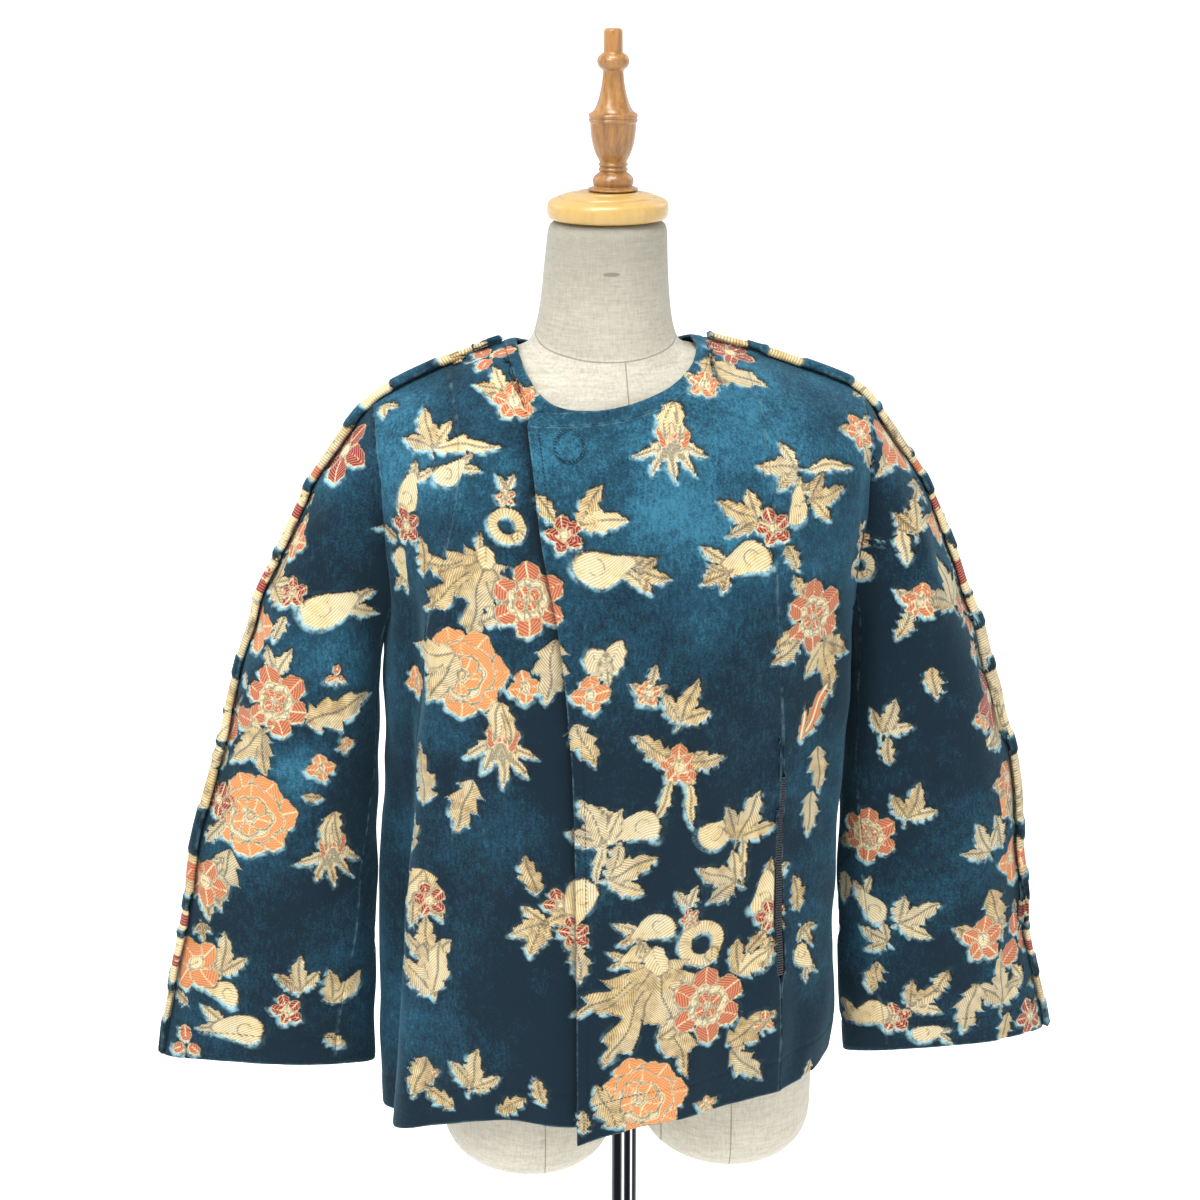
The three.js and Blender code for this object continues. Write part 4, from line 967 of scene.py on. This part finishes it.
@finish_once("velvet")
def velvet():
    """Velvet pile round a flat woven pattern."""
    f = Finish(
        "velvet_jacquard",
        Sheen_Weight=0.22,
        Sheen_Roughness=0.45,
        Sheen_Tint=rgb(130, 190, 215),
        Specular_IOR_Level=0.2,
    )
    woven, petal, line, hue = map(f.attribute, ("woven", "petal", "line", "hue"))
    hatch, tone, nap, tuck = map(f.attribute, ("hatch", "tone", "nap", "tuck"))
    lean, rim, stitch = map(f.attribute, ("lean", "rim", "stitch"))
    fine = f.noise(620, 2, 0.6)
    mottle = f.noise(120, 3, 0.6)
    broad = f.noise(16, 2, 0.55)
    tufts = f.noise(420, 1, 0.5, stretch=(1.0, 1.0, 0.35))
    ragged = woven + (fine - 0.5) * 1.7 + (mottle - 0.5) * 2.2
    inside = 1 - ragged.step(-0.45, 0.45)

    # pile: brushed up it is bright, lying down it is dark; the nap numbers also carry painted highlight and
    # painted shade
    up = nap * 0.84 - 0.03 + (broad - 0.5) * 0.9 + (mottle - 0.5) * 0.45
    up = (up + (tufts - 0.5) * 0.45 + (fine - 0.5) * 0.8).most(0).least(1)
    pile = f.mix(up.step(0.02, 0.55), picked("pile_dark"), picked("pile_mid"))
    pile = f.mix(up.step(0.4, 1.0), pile, picked("pile_bright"))
    # painted highlight on the pile at the lit edges of the motifs
    lit = lean.step(-0.1, 0.8)
    halo = ragged.step(0.0, 0.5) * (1 - woven.step(0.8, 3.8)) * (0.1 + mottle.step(0.38, 0.62) * 0.9)
    pile = f.mix(halo * (lit * 0.9 + 0.08), pile, picked("pile_sheen_and_wear"))
    # painted shade on the pile beside the motifs' edges that face away from the light
    under = (1 - woven.step(0.4, 4.5)) * (1 - lean.step(-0.7, 0.1))
    pile = f.mix(under * 0.55, pile, picked("pile_shadow"))
    worn = (1 - rim.step(0.3, 1.6)) * mottle.step(0.4, 0.7)
    pile = f.mix(worn * 0.22, pile, picked("pile_sheen_and_wear"))

    # woven part: cream threads, shaded towards the base, with dark threads between
    shade = (tone * 0.75 + (mottle - 0.5) * 0.9 + (fine - 0.5) * 0.3).most(0).least(1)
    cream = f.mix(shade.step(0.05, 0.62), picked("thread_shaded"), picked("thread_gold"))
    cream = f.mix(shade.step(0.35, 0.95), cream, picked("thread_cream"))
    cream = f.mix(broad.step(0.42, 0.62) * 0.5, cream, picked("thread_grey"))
    rows_of_thread = abs((hatch / 2.2 + (fine - 0.5) * 0.3).part() - 0.5) * 2
    dark_rows = (1 - rows_of_thread.step(0.1, 0.7)) * (0.8 - tone * 0.45)
    cream = f.mix(dark_rows, cream, picked("thread_dark"))
    warm = f.mix((hue + (mottle - 0.5) * 0.6).step(0.05, 1.0), picked("petal_peach"), picked("petal_coral"))
    warm = f.mix(hue.step(1.3, 1.8), warm, picked("petal_crimson"))
    warm = f.mix((1 - rows_of_thread.step(0.1, 0.6)) * 0.4, warm, picked("thread_gold"))
    in_petal = 1 - (petal + (fine - 0.5) * 0.9).step(-0.35, 0.35)
    flat = f.mix(in_petal, cream, warm)
    drawn = 1 - (line + (fine - 0.5) * 0.9).step(-0.3, 0.75)
    flat = f.mix(drawn * (1 - in_petal) * 0.58, flat, picked("thread_dark"))
    flat = f.mix(drawn * in_petal * 0.9, flat, picked("thread_cream"))
    colour = f.mix(inside, pile, flat)

    # painted shadow at the foot of the pile, at stitches, at the seam edge and beside the lap, and a painted
    # highlight on the lit fringe of the pile
    foot = (1 - abs(ragged).step(0.2, 1.1)) * (0.3 + fine.step(0.3, 0.6) * 0.6)
    colour = f.mix(foot * (1 - lean.step(-0.35, 0.35)), colour, picked("pile_shadow"))
    # a painted highlight on the lit fringe of the pile
    lit_fringe = (1 - abs(ragged - 0.2).step(0.1, 0.8)) * lean.step(-0.3, 0.3) * fine.step(0.35, 0.6)
    colour = f.mix(lit_fringe * 0.7, colour, rgb(206, 216, 206))
    x, y, z = f.axes()
    dash = ((x + y + z) / 0.0036).part().step(0.3, 0.42)
    hole = (1 - stitch.step(0.35, 0.95)) * dash
    colour = f.mix(hole * 0.75, colour, picked("pile_shadow"))
    colour = f.mix(tuck * 0.95, colour, picked("pile_shadow"))
    colour = f.mix((1 - rim.step(0.0, 0.5)) * 0.2, colour, picked("pile_shadow"))

    grain = f.noise(1500, 2, 0.6)
    thread = (abs((hatch / 0.9).part() - 0.5) * 2).sine()
    threads = thread * 0.35 + rows_of_thread * 0.3
    hairs = grain * 0.7 + fine * 0.9 + mottle
    normal = f.bump(inside * threads + (1 - inside) * hairs, 0.0006, 0.7)
    return f.feed(Base_Color=colour, Roughness=0.92 - inside * 0.22, Normal=normal)


@finish_once("linen")
def linen():
    """Plain linen weave with slubs, the sewn lines of the form, and painted shadow on the neck."""
    f = Finish("linen", Sheen_Weight=0.15, Sheen_Roughness=0.5, Specular_IOR_Level=0.2)
    x, y, z = f.axes()
    warp = f.noise(700, 2, 0.6, 0.0, (1.0, 1.0, 0.16))
    weft = f.noise(700, 2, 0.6, 0.0, (0.16, 0.16, 1.0))
    slub = f.noise(260, 2, 0.6, 0.0, (0.12, 0.12, 1.0))
    broad = f.noise(9, 2, 0.5)
    shade = (warp * 0.5 + weft * 0.5 + (slub - 0.5) * 0.3 + (broad - 0.5) * 0.2).step(0.18, 0.78)
    colour = f.mix(shade, picked("linen_shade"), picked("linen_light"))
    over_ring = (z - bpy.context.scene.form_sizes.neck_seam - (y + 0.02) * 0.3) / MM
    behind = y.step(-0.001, 0.001) * 12
    front_seam = abs((x + 0.011 - (1.426 - z) * 0.05) / MM) + behind + over_ring.step(-0.5, 0.5) * 12
    legs = abs(abs(x - 0.003) - 0.076) / MM + z.step(0.829, 0.831) * 12
    seam = abs(over_ring).least(front_seam).least(legs)
    # painted shadow on the neck: darker above the ring seam and towards the cap
    neck = over_ring.step(-2, 4) * 0.3 + (z - 1.34).step(0.0, 0.09) * 0.35
    colour = f.mix(neck, colour, rgb(118, 116, 104))
    across, up = (x + 0.016) / 0.0068, (z - 1.39) / 0.0017
    knot = (1 - (across * across + up * up).step(0.5, 1.3)) * (1 - y.step(-0.001, 0.001))
    colour = f.mix((1 - seam.step(0.2, 0.9)) * 0.7, colour, rgb(116, 108, 88))
    colour = f.mix(knot * 0.6, colour, rgb(84, 80, 70))
    threads = abs((z / 0.0016).part() - 0.5) + abs(((x + y * 0.7) / 0.0016).part() - 0.5)
    normal = f.bump(warp + weft + slub * 0.6 + threads * 0.3, 0.0003, 0.6)
    return f.feed(Base_Color=colour, Roughness=shade * 0.06 + 0.86, Normal=normal)


@finish_once("wood")
def wood():
    """Honey-coloured turned hardwood under satin varnish."""
    f = Finish("turned_wood", Coat_Weight=0.45, Coat_Roughness=0.18, Specular_IOR_Level=0.5)
    stretch = (1.0, 1.0, 0.09)
    grain = f.noise(260, 4, 0.62, 0.4, stretch)
    pores = f.noise(1400, 2, 0.6, 0.0, (1.0, 1.0, 0.05))
    broad = f.noise(22, 2, 0.5, 0.8, (1.0, 1.0, 0.3))
    colour = f.mix((grain * 0.75 + broad * 0.35).step(0.32, 0.72), picked("wood_dark"), picked("wood_light"))
    rings = abs(((grain + broad * 2.2) * 7).part() - 0.5) * 2
    colour = f.mix((1 - rings.step(0.0, 0.35)) * 0.45, colour, rgb(112, 66, 28))
    colour = f.mix(pores.step(0.6, 0.72) * 0.4, colour, rgb(104, 62, 28))
    in_cap = 1 - f.axes()[2].step(1.4465, 1.4475)
    colour = f.mix(in_cap * 0.62, colour, picked("wood_cap"))
    normal = f.bump(grain * 0.6 + pores * 0.4, 0.0003, 0.35)
    return f.feed(Base_Color=colour, Roughness=grain * 0.15 + 0.32, Normal=normal)


@finish_once("chrome")
def chrome():
    """Polished chrome with faint rubbing marks, and painted reflections: dark and bright stripes down the
    tube.
    """
    f = Finish("chrome", Metallic=1.0)
    marks = f.noise(700, 2, 0.6, 0.0, (1.0, 1.0, 0.04))
    haze = f.noise(30, 3, 0.6)
    colour = f.mix(haze.step(0.35, 0.75) * 0.5, rgb(84, 86, 90), rgb(52, 54, 58))
    x, y, z = f.axes()
    # painted reflections: dark and bright stripes down the tube, turning with it
    painted_reflections = abs((x / 0.0079 + y / 0.021 + 0.2).part() - 0.5) * 2
    tube = z.step(0.011, 0.012)
    colour = f.mix(tube * painted_reflections.step(0.25, 0.6), colour, rgb(18, 19, 22))
    colour = f.mix(tube * (1 - painted_reflections.step(0.05, 0.3)), colour, rgb(226, 228, 232))
    return f.feed(Base_Color=colour, Roughness=marks * 0.05 + haze * 0.06 + 0.07)


@finish_once("black")
def black():
    """Moulded black plastic."""
    f = Finish("black_plastic", Specular_IOR_Level=0.4)
    pits = f.noise(1800, 2, 0.6)
    scuffs = f.noise(90, 3, 0.65)
    colour = f.mix(scuffs.step(0.5, 0.8) * 0.5, rgb(22, 22, 24), rgb(52, 52, 56))
    return f.feed(Base_Color=colour, Roughness=scuffs * 0.2 + 0.38, Normal=f.bump(pits, 0.0002, 0.4))


@finish_once("tape")
def tape():
    """Dark twill zip tape."""
    f = Finish("zip_tape", Specular_IOR_Level=0.25)
    x, _, z = f.axes()
    twill = (abs(((z + x * 1.2) / 0.0014).part() - 0.5) * 2).step(0.1, 0.9)
    mottle = f.noise(500, 2, 0.6)
    colour = f.mix((twill * 0.5 + mottle * 0.5).step(0.2, 0.8), rgb(20, 22, 28), rgb(48, 52, 60))
    return f.feed(Base_Color=colour, Roughness=mottle * 0.1 + 0.7, Normal=f.bump(twill + mottle, 0.0002, 0.6))


@finish_once("coil")
def coil():
    """Dyed nylon of the closed zip."""
    f = Finish("zip_coil", Specular_IOR_Level=0.5)
    mottle = f.noise(900, 2, 0.6)
    colour = f.mix(mottle.step(0.3, 0.7), rgb(22, 24, 28), rgb(44, 46, 52))
    return f.feed(Base_Color=colour, Roughness=mottle * 0.15 + 0.4)


@finish_once("floor")
def floor_finish():
    """Plain pale studio floor."""
    f = Finish("studio_floor", Specular_IOR_Level=0.0, Emission_Color=(1, 1, 1, 1), Emission_Strength=0.6)
    tint = f.noise(0.8, 1, 0.5)
    colour = f.mix(tint, rgb(252, 252, 252), rgb(250, 250, 251))
    return f.feed(Base_Color=colour, Roughness=tint * 0.02 + 0.95)


def torso(sizes):
    """The dress form with smooth sides and the sewn lines of its cover."""
    piece = from_bmesh("dress_form_linen", node_shell("dress_form"))
    even = piece.modifiers.new("even", "REMESH")
    even.mode = "VOXEL"
    even.voxel_size = sizes.cover_grain
    calm = piece.modifiers.new("calm", "SMOOTH")
    calm.factor = 0.5
    calm.iterations = 14
    applied(piece)
    piece.data.shade_smooth()
    piece.data.materials.append(FINISHES["linen"]())
    stand_for(piece, "dress_form", "linen")


def spun(node, profile, centre, steps):
    """A turned piece of wood: a profile in mm of radius and height, spun round its own axis."""
    bm = bmesh.new()
    verts = [bm.verts.new((r * MM, 0, h * MM)) for r, h in profile]
    edges = [bm.edges.new(pair) for pair in zip(verts, verts[1:])]
    turn = {"cent": (0, 0, 0), "axis": (0, 0, 1), "angle": 2 * math.pi, "steps": steps, "use_merge": True}
    bmesh.ops.spin(bm, geom=verts + edges, **turn)
    bmesh.ops.remove_doubles(bm, verts=bm.verts, dist=1e-5)
    bmesh.ops.recalc_face_normals(bm, faces=bm.faces)
    bmesh.ops.translate(bm, verts=bm.verts, vec=Vector(centre) * MM)
    piece = from_bmesh(node + "_wood", bm)
    piece.data.materials.append(FINISHES["wood"]())
    stand_for(piece, node, "turned_wood")


def rounded(profile):
    """A profile with its corners cut, so that turned edges are soft."""
    cut = [profile[0]]
    for (r0, h0), (r1, h1) in zip(profile, profile[1:]):
        cut.append((r0 * 0.8 + r1 * 0.2, h0 * 0.8 + h1 * 0.2))
        cut.append((r0 * 0.2 + r1 * 0.8, h0 * 0.2 + h1 * 0.8))
    return cut + [profile[-1]]


# Radius and height above the top of the neck, in mm
CAP_PROFILE = [
    (0, 0.4), (43.4, 0.4), (45.4, 1.4), (46.6, 5), (46.6, 9), (46, 12.4), (44, 14.6), (38.6, 16.6),
    (37.4, 16.9), (37, 16.2), (36.4, 16.3), (36, 17.6), (34.6, 18.4), (26.4, 19.8), (25.4, 20), (25, 19.4),
    (24.4, 19.5), (24, 20.6), (22.6, 21), (0, 21),
]  # fmt: skip
FINIAL_PROFILE = [
    (0, 21.4), (17.6, 21.4), (19.2, 22), (19.2, 23), (17.4, 23.9), (14.4, 24.4), (15.2, 26), (15.8, 28.4),
    (15.2, 31.2), (13.2, 33.6), (10.8, 35.2), (10.2, 36), (11.2, 36.8), (11.3, 38), (10.2, 38.9),
    (10.2, 39.7), (11.2, 40.5), (11.2, 41.7), (10.2, 42.6), (10.8, 44.2), (13.2, 48.6), (15.4, 55),
    (16.8, 62), (17.5, 69), (17.4, 72.2), (18.2, 73), (18.8, 74.4), (18.4, 75.6), (17.8, 76), (18.6, 76.8),
    (18.8, 78.2), (18, 79.6), (16.4, 80.2), (15, 81.4), (12.8, 85), (10.6, 92), (8.8, 100), (8, 107),
    (7.8, 111.2), (8.8, 112.2), (11, 114), (12.2, 117), (12.2, 119.4), (11, 122), (8.6, 123.8),
    (7.4, 124.6), (7.2, 126), (7.1, 140.2), (6.6, 141.8), (5.6, 142.4), (0, 142.4),
]  # fmt: skip
# The top of the neck in mm, and how far the finial stands beside its middle
NECK_TOP = (-14, -10, 1426)
FINIAL_OFFSET = 4


def post(name, node, radius, low, high, edge, slot, steps):
    """A round post or plate with rounded rims, from a low to a high end. Sizes in mm."""
    bm = bmesh.new()
    size = {"cap_ends": True, "segments": steps, "radius1": radius * MM, "radius2": radius * MM}
    made = bmesh.ops.create_cone(bm, depth=(high - low) * MM, **size)
    bmesh.ops.translate(bm, verts=made["verts"], vec=(0, 0, (low + high) / 2 * MM))
    rims = [e for e in bm.edges if e.calc_face_angle() > 1.2]
    soft = {"affect": "EDGES", "segments": 4, "profile": 0.5, "material": -1}
    bmesh.ops.bevel(bm, geom=rims, offset=edge * MM, **soft)
    piece = from_bmesh(name, bm)
    piece.data.materials.append(FINISHES[slot]())
    stand_for(piece, node, "chrome" if slot == "chrome" else "black_plastic")


def turnings(sizes):
    """The neck cap and the finial."""
    x, y, z = NECK_TOP
    spun("neck_cap", rounded(CAP_PROFILE), NECK_TOP, sizes.turning_steps)
    spun("finial", rounded(FINIAL_PROFILE), (x + FINIAL_OFFSET, y, z), sizes.turning_steps)


# The stand: piece, node, setting of the radius, low end, high end and rim in mm, finish, steps round
POSTS = [
    ("pole_tube", "pole", "pole_radius", 10.3, 663.7, 0.6, "chrome", 64),
    ("pole_collar_ring", "pole_collar", "collar_radius", 664, 714.6, 1.2, "black", 64),
    ("base_disc", "base_plate", "plate_radius", 0, 10, 2.5, "chrome", 128),
]


def stand(sizes):
    """The pole, its collar and the base plate."""
    for name, node, radius, *rest in POSTS:
        post(name, node, getattr(sizes, radius) / MM, *rest)


# Share of the step that a tooth takes up, its thickness and the roundness of its edges, in m
TOOTH_SHARE, TOOTH_THICK, TOOTH_ROUND = 0.62, 0.0011, 0.0003


def zip_in_slit(sizes):
    """The closed pocket zip: its tape, and a row of nylon teeth over the slit."""
    piece = from_bmesh("pocket_zip_tape", node_shell("pocket_zip"))
    split_long_edges(piece, 4)
    points, _ = arrays(piece.data)
    piece.data.vertices.foreach_set("co", (points + folds(points)).ravel())
    piece.data.materials.append(FINISHES["tape"]())
    stand_for(piece, "pocket_zip", "zip_tape")
    low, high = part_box("pocket_zip")
    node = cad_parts["pocket_zip"].data
    spots = np.array([v.co for v in node.vertices])
    tree = BVHTree.FromPolygons([v.co for v in node.vertices], [p.vertices for p in node.polygons])
    slope, start = np.polyfit(spots[:, 2], spots[:, 0], 1)
    bm = bmesh.new()
    count = int((high.z - low.z - 0.004) / sizes.tooth_step)
    for k in range(count):
        z = low.z + 0.002 + k * sizes.tooth_step
        hit, normal, _, _ = tree.ray_cast(Vector((slope * z + start, -1, z)), Vector((0, 1, 0)))
        if hit is None:
            continue
        hit = hit + Vector(folds(np.array([hit]))[0])
        side = normal.cross(Vector((0, 0, 1))).normalized()
        up = side.cross(normal).normalized()
        turned = Matrix((side, up, normal)).transposed().to_4x4()
        place = Matrix.Translation(hit + normal * sizes.tooth_lift) @ turned
        shape = Matrix.Diagonal((sizes.tooth_width, sizes.tooth_step * TOOTH_SHARE, TOOTH_THICK, 1))
        bmesh.ops.create_cube(bm, size=1, matrix=place @ shape)
    soft = {"affect": "EDGES", "segments": 2, "profile": 0.5, "material": -1}
    bmesh.ops.bevel(bm, geom=list(bm.edges), offset=TOOTH_ROUND, **soft)
    teeth = from_bmesh("pocket_zip_teeth", bm)
    teeth.data.materials.append(FINISHES["coil"]())
    stand_for(teeth, "pocket_zip", "zip_tape")


# The camera looks at this point, from this far, turned to the wearer's right and raised, in m and degrees
TARGET = (-0.019, 0.0, 1.12)
AWAY, AROUND, ABOVE, HALF_VIEW = 2.08, -6, 16, 13
# The lamps: place, width in m, and the setting of the strength
LAMPS = {
    "key": ((-1.5, -1.7, 3.3), 1.2, "key_power"),
    "top": ((-0.3, -0.7, 3.6), 1.3, "top_power"),
    "fill": ((2.4, -2.2, 1.7), 2.2, "fill_power"),
    "back_left": ((-2.2, 1.4, 2.4), 1.6, "back_power"),
    "back_right": ((2.2, 1.6, 2.4), 1.6, "back_power"),
}


def lamp(name, place, size, strength):
    """A round soft light that points at the jacket."""
    light = bpy.data.lights.new(name, "AREA")
    light.shape = "DISK"
    light.size = size
    light.energy = strength
    source = bpy.data.objects.new(name, light)
    bpy.context.scene.collection.objects.link(source)
    source.location = place
    source.rotation_euler = (Vector(TARGET) - Vector(place)).to_track_quat("-Z", "Y").to_euler()


def studio(sizes):
    """Floor, lights, camera and surroundings."""
    bm = bmesh.new()
    bmesh.ops.create_grid(bm, x_segments=8, y_segments=8, size=sizes.floor_size / 2)
    floor = from_bmesh("studio_floor", bm)
    floor.data.materials.append(FINISHES["floor"]())
    for name, (place, size, strength) in LAMPS.items():
        lamp(name, place, size, getattr(sizes, strength))
    world = bpy.data.worlds.new("studio")
    world.use_nodes = True
    sky = world.node_tree.nodes["Background"]
    sky.inputs["Color"].default_value = (1, 1, 1, 1)
    sky.inputs["Strength"].default_value = sizes.surround
    bpy.context.scene.world = world
    bpy.context.scene.view_settings.view_transform = "Standard"
    lens = bpy.data.cameras.new("camera")
    lens.sensor_width = 36
    lens.lens = 18 / math.tan(math.radians(HALF_VIEW))
    lens.clip_end = 200
    camera = bpy.data.objects.new("camera", lens)
    bpy.context.scene.collection.objects.link(camera)
    around, above = math.radians(AROUND), math.radians(ABOVE)
    flat = AWAY * math.cos(above)
    offset = Vector((flat * math.sin(around), -flat * math.cos(around), AWAY * math.sin(above)))
    camera.location = Vector(TARGET) + offset
    camera.rotation_euler = (-offset).to_track_quat("-Z", "Y").to_euler()
    bpy.context.scene.camera = camera


def metres(name, description, default, low=0.0):
    limits = {"min": low, "max": 5.0, "precision": 4}
    return FloatProperty(name=name, description=description, default=default, unit="LENGTH", **limits)


def watts(name, description, default):
    return FloatProperty(name=name, description=description, default=default, min=0, unit="POWER")


def tint(name, description, red, green, blue):
    values = {"size": 3, "min": 0.0, "max": 1.0, "default": rgb(red, green, blue)[:3]}
    return FloatVectorProperty(name=name, description=description, subtype="COLOR", **values)


class JacketSizes(bpy.types.PropertyGroup):
    """Sizes of the cloth and its sewing."""

    pile: metres("Pile height", "How far the velvet stands over the woven pattern", 0.0014)
    thickness: metres("Cloth thickness", "Thickness of the cloth at its edges", 0.0022)
    turned_edge: metres("Turned edge", "How far the edge is turned back inside", 0.004)
    edge_roll: metres("Edge roll", "Width of the rounded edge along a seam", 0.0022)
    hem_stitch: metres("Hem stitches", "Height of the stitches over the hem", 0.028)
    cuff_stitch: metres("Cuff stitches", "Height of the stitches over the cuff", 0.024)
    lap_stitch: metres("Lap stitches", "Distance of the stitches from the front edge", 0.008)
    welt_swell: metres("Welt swell", "How far the welts swell with their filling", 0.0042)
    welt_foot: metres("Welt foot", "How deep the welts go between the sleeve's pieces", 0.0048)
    tooth_width: metres("Zip tooth width", "Width of one tooth of the pocket zip", 0.0058)
    tooth_lift: metres("Zip tooth lift", "How far the teeth stand out from the tape", 0.0016)
    tooth_step: metres("Zip tooth step", "Distance from one tooth to the next", 0.0021, 0.001)
    motif_scale: FloatProperty(
        name="Motif scale", description="Size of the motifs", default=1.0, min=0.5, max=1.5, subtype="FACTOR"
    )


class JacketColours(bpy.types.PropertyGroup):
    """Colours of the threads, linen and wood."""

    # Pile tones: dark, middle and bright are picked by the nap numbers, so they also serve as painted shade
    # and painted highlight; the shadow tone is painted shadow, and the sheen tone is a painted highlight at
    # motif edges and also wear at the rims
    pile_shadow: tint("Pile, deep", "Shadow at the foot of the pile", 5, 14, 20)
    pile_dark: tint("Pile, dark", "Pile lying down", 8, 28, 40)
    pile_mid: tint("Pile, middle", "Pile half up", 22, 60, 78)
    pile_bright: tint("Pile, bright", "Pile brushed up", 50, 108, 132)
    pile_sheen_and_wear: tint("Pile, edge", "Pile seen from the side at the border of a motif", 140, 180, 188)
    thread_cream: tint("Cream thread", "Lightest thread of the pattern", 226, 209, 166)
    thread_gold: tint("Gold thread", "Yellow thread of the pattern", 212, 184, 128)
    thread_shaded: tint("Shaded thread", "Tan thread of the pattern", 136, 110, 74)
    thread_grey: tint("Grey thread", "Paler, cooler cream of some motifs", 206, 197, 167)
    thread_dark: tint("Dark thread", "Thread of the veins and outlines", 30, 46, 58)
    petal_peach: tint("Peach petals", "Roses", 198, 124, 72)
    petal_coral: tint("Coral petals", "Peonies and buds", 166, 82, 60)
    petal_crimson: tint("Crimson petals", "Small blossoms", 128, 20, 36)
    linen_light: tint("Linen, light", "Lit threads of the form's cover", 196, 191, 176)
    linen_shade: tint("Linen, shaded", "Threads between them", 160, 155, 140)
    wood_light: tint("Wood, light", "Wood between the grain", 160, 112, 48)
    wood_cap: tint("Wood, cap", "Paler, yellower wood of the cap", 200, 170, 98)
    wood_dark: tint("Wood, dark", "Grain", 112, 72, 30)


class FormSizes(bpy.types.PropertyGroup):
    """Sizes of the dress form's stand."""

    cover_grain: metres("Cover grain", "Size of the faces that the cover is smoothed with", 0.0045, 0.003)
    neck_seam: metres("Neck seam", "Height of the seam round the neck", 1.336)
    pole_radius: metres("Pole radius", "Radius of the chrome pole", 0.0125)
    collar_radius: metres("Collar radius", "Radius of the black collar", 0.015)
    plate_radius: metres("Base radius", "Radius of the base plate", 0.165)
    turning_steps: IntProperty(
        name="Turning steps", description="Steps round the turned wood", default=96, min=24, max=160
    )


class StudioSizes(bpy.types.PropertyGroup):
    """Floor and light."""

    floor_size: FloatProperty(
        name="Floor size", description="Width of the floor", default=90, min=10, unit="LENGTH"
    )
    key_power: watts("Key light", "Light from the front left", 44)
    top_power: watts("Top light", "Light from above", 54)
    fill_power: watts("Fill light", "Light from the front right", 13)
    back_power: watts("Back lights", "Light from behind", 10)
    surround: FloatProperty(
        name="Surround", description="Strength of the white surroundings", default=0.85, min=0
    )


class ClothOperator:
    """Builds the cloth pieces that its class names."""

    pieces = ()

    def execute(self, context):
        for name in self.pieces:
            cloth_piece(name, context.scene.jacket_sizes)
        return {"FINISHED"}


class StepOperator:
    """Builds what one function builds from its group of settings."""

    def execute(self, context):
        self.build(getattr(context.scene, self.group))
        return {"FINISHED"}


class JACKET_OT_add_fronts(ClothOperator, bpy.types.Operator):
    """Add the fronts and the side panels"""

    bl_idname = "jacket.add_fronts"
    bl_label = "Add fronts"
    pieces = ("front_left", "side_front_left", "front_right", "side_front_right")


class JACKET_OT_add_back(ClothOperator, bpy.types.Operator):
    """Add the back"""

    bl_idname = "jacket.add_back"
    bl_label = "Add back"
    pieces = ("back",)


class JACKET_OT_add_sleeves(ClothOperator, bpy.types.Operator):
    """Add the sleeves"""

    bl_idname = "jacket.add_sleeves"
    bl_label = "Add sleeves"
    pieces = (
        "sleeve_front_left", "sleeve_under_left", "sleeve_back_left",
        "sleeve_front_right", "sleeve_under_right", "sleeve_back_right",
    )  # fmt: skip


class JACKET_OT_add_trim(ClothOperator, bpy.types.Operator):
    """Add the neck band, the welts over the shoulders and the snap cover"""

    bl_idname = "jacket.add_trim"
    bl_label = "Add neck band, welts and snap"
    pieces = ("neck_band", "overarm_welt_left", "overarm_welt_right", "snap_cover")


class JACKET_OT_add_zip(StepOperator, bpy.types.Operator):
    """Add the zip of the pocket"""

    bl_idname = "jacket.add_zip"
    bl_label = "Add pocket zip"
    group = "jacket_sizes"
    build = staticmethod(zip_in_slit)


class FORM_OT_add_torso(StepOperator, bpy.types.Operator):
    """Add the linen dress form"""

    bl_idname = "form.add_torso"
    bl_label = "Add dress form"
    group = "form_sizes"
    build = staticmethod(torso)


class FORM_OT_add_turnings(StepOperator, bpy.types.Operator):
    """Add the wooden neck cap and finial"""

    bl_idname = "form.add_turnings"
    bl_label = "Add cap and finial"
    group = "form_sizes"
    build = staticmethod(turnings)


class FORM_OT_add_stand(StepOperator, bpy.types.Operator):
    """Add the pole, its collar and the base plate"""

    bl_idname = "form.add_stand"
    bl_label = "Add stand"
    group = "form_sizes"
    build = staticmethod(stand)


class STUDIO_OT_add(StepOperator, bpy.types.Operator):
    """Add the floor, the lights and the camera"""

    bl_idname = "studio.add"
    bl_label = "Add studio"
    group = "studio_sizes"
    build = staticmethod(studio)


STEPS = (
    STUDIO_OT_add,
    JACKET_OT_add_fronts,
    JACKET_OT_add_back,
    JACKET_OT_add_sleeves,
    JACKET_OT_add_trim,
    JACKET_OT_add_zip,
    FORM_OT_add_torso,
    FORM_OT_add_turnings,
    FORM_OT_add_stand,
)


class JACKET_PT_panel(bpy.types.Panel):
    """Lists the steps and their settings"""

    bl_idname = "JACKET_PT_panel"
    bl_label = "Jacket on a dress form"
    bl_space_type = "VIEW_3D"
    bl_region_type = "UI"
    bl_category = "Jacket"

    def draw(self, context):
        for step in STEPS:
            self.layout.operator(step.bl_idname)
        for group in SETTINGS:
            settings = getattr(context.scene, group)
            box = self.layout.box()
            for name in settings.__annotations__:
                box.prop(settings, name)


SETTINGS = {
    "jacket_sizes": JacketSizes,
    "jacket_colours": JacketColours,
    "form_sizes": FormSizes,
    "studio_sizes": StudioSizes,
}


def register():
    for group in SETTINGS.values():
        bpy.utils.register_class(group)
    for name, group in SETTINGS.items():
        setattr(bpy.types.Scene, name, PointerProperty(type=group))
    for item in (*STEPS, JACKET_PT_panel):
        bpy.utils.register_class(item)


def unregister():
    for item in reversed((*STEPS, JACKET_PT_panel)):
        bpy.utils.unregister_class(item)
    for name, group in reversed(SETTINGS.items()):
        delattr(bpy.types.Scene, name)
        bpy.utils.unregister_class(group)


def main():
    register()
    for step in STEPS:
        family, action = step.bl_idname.split(".")
        getattr(getattr(bpy.ops, family), action)()


if __name__ == "__main__":
    main()
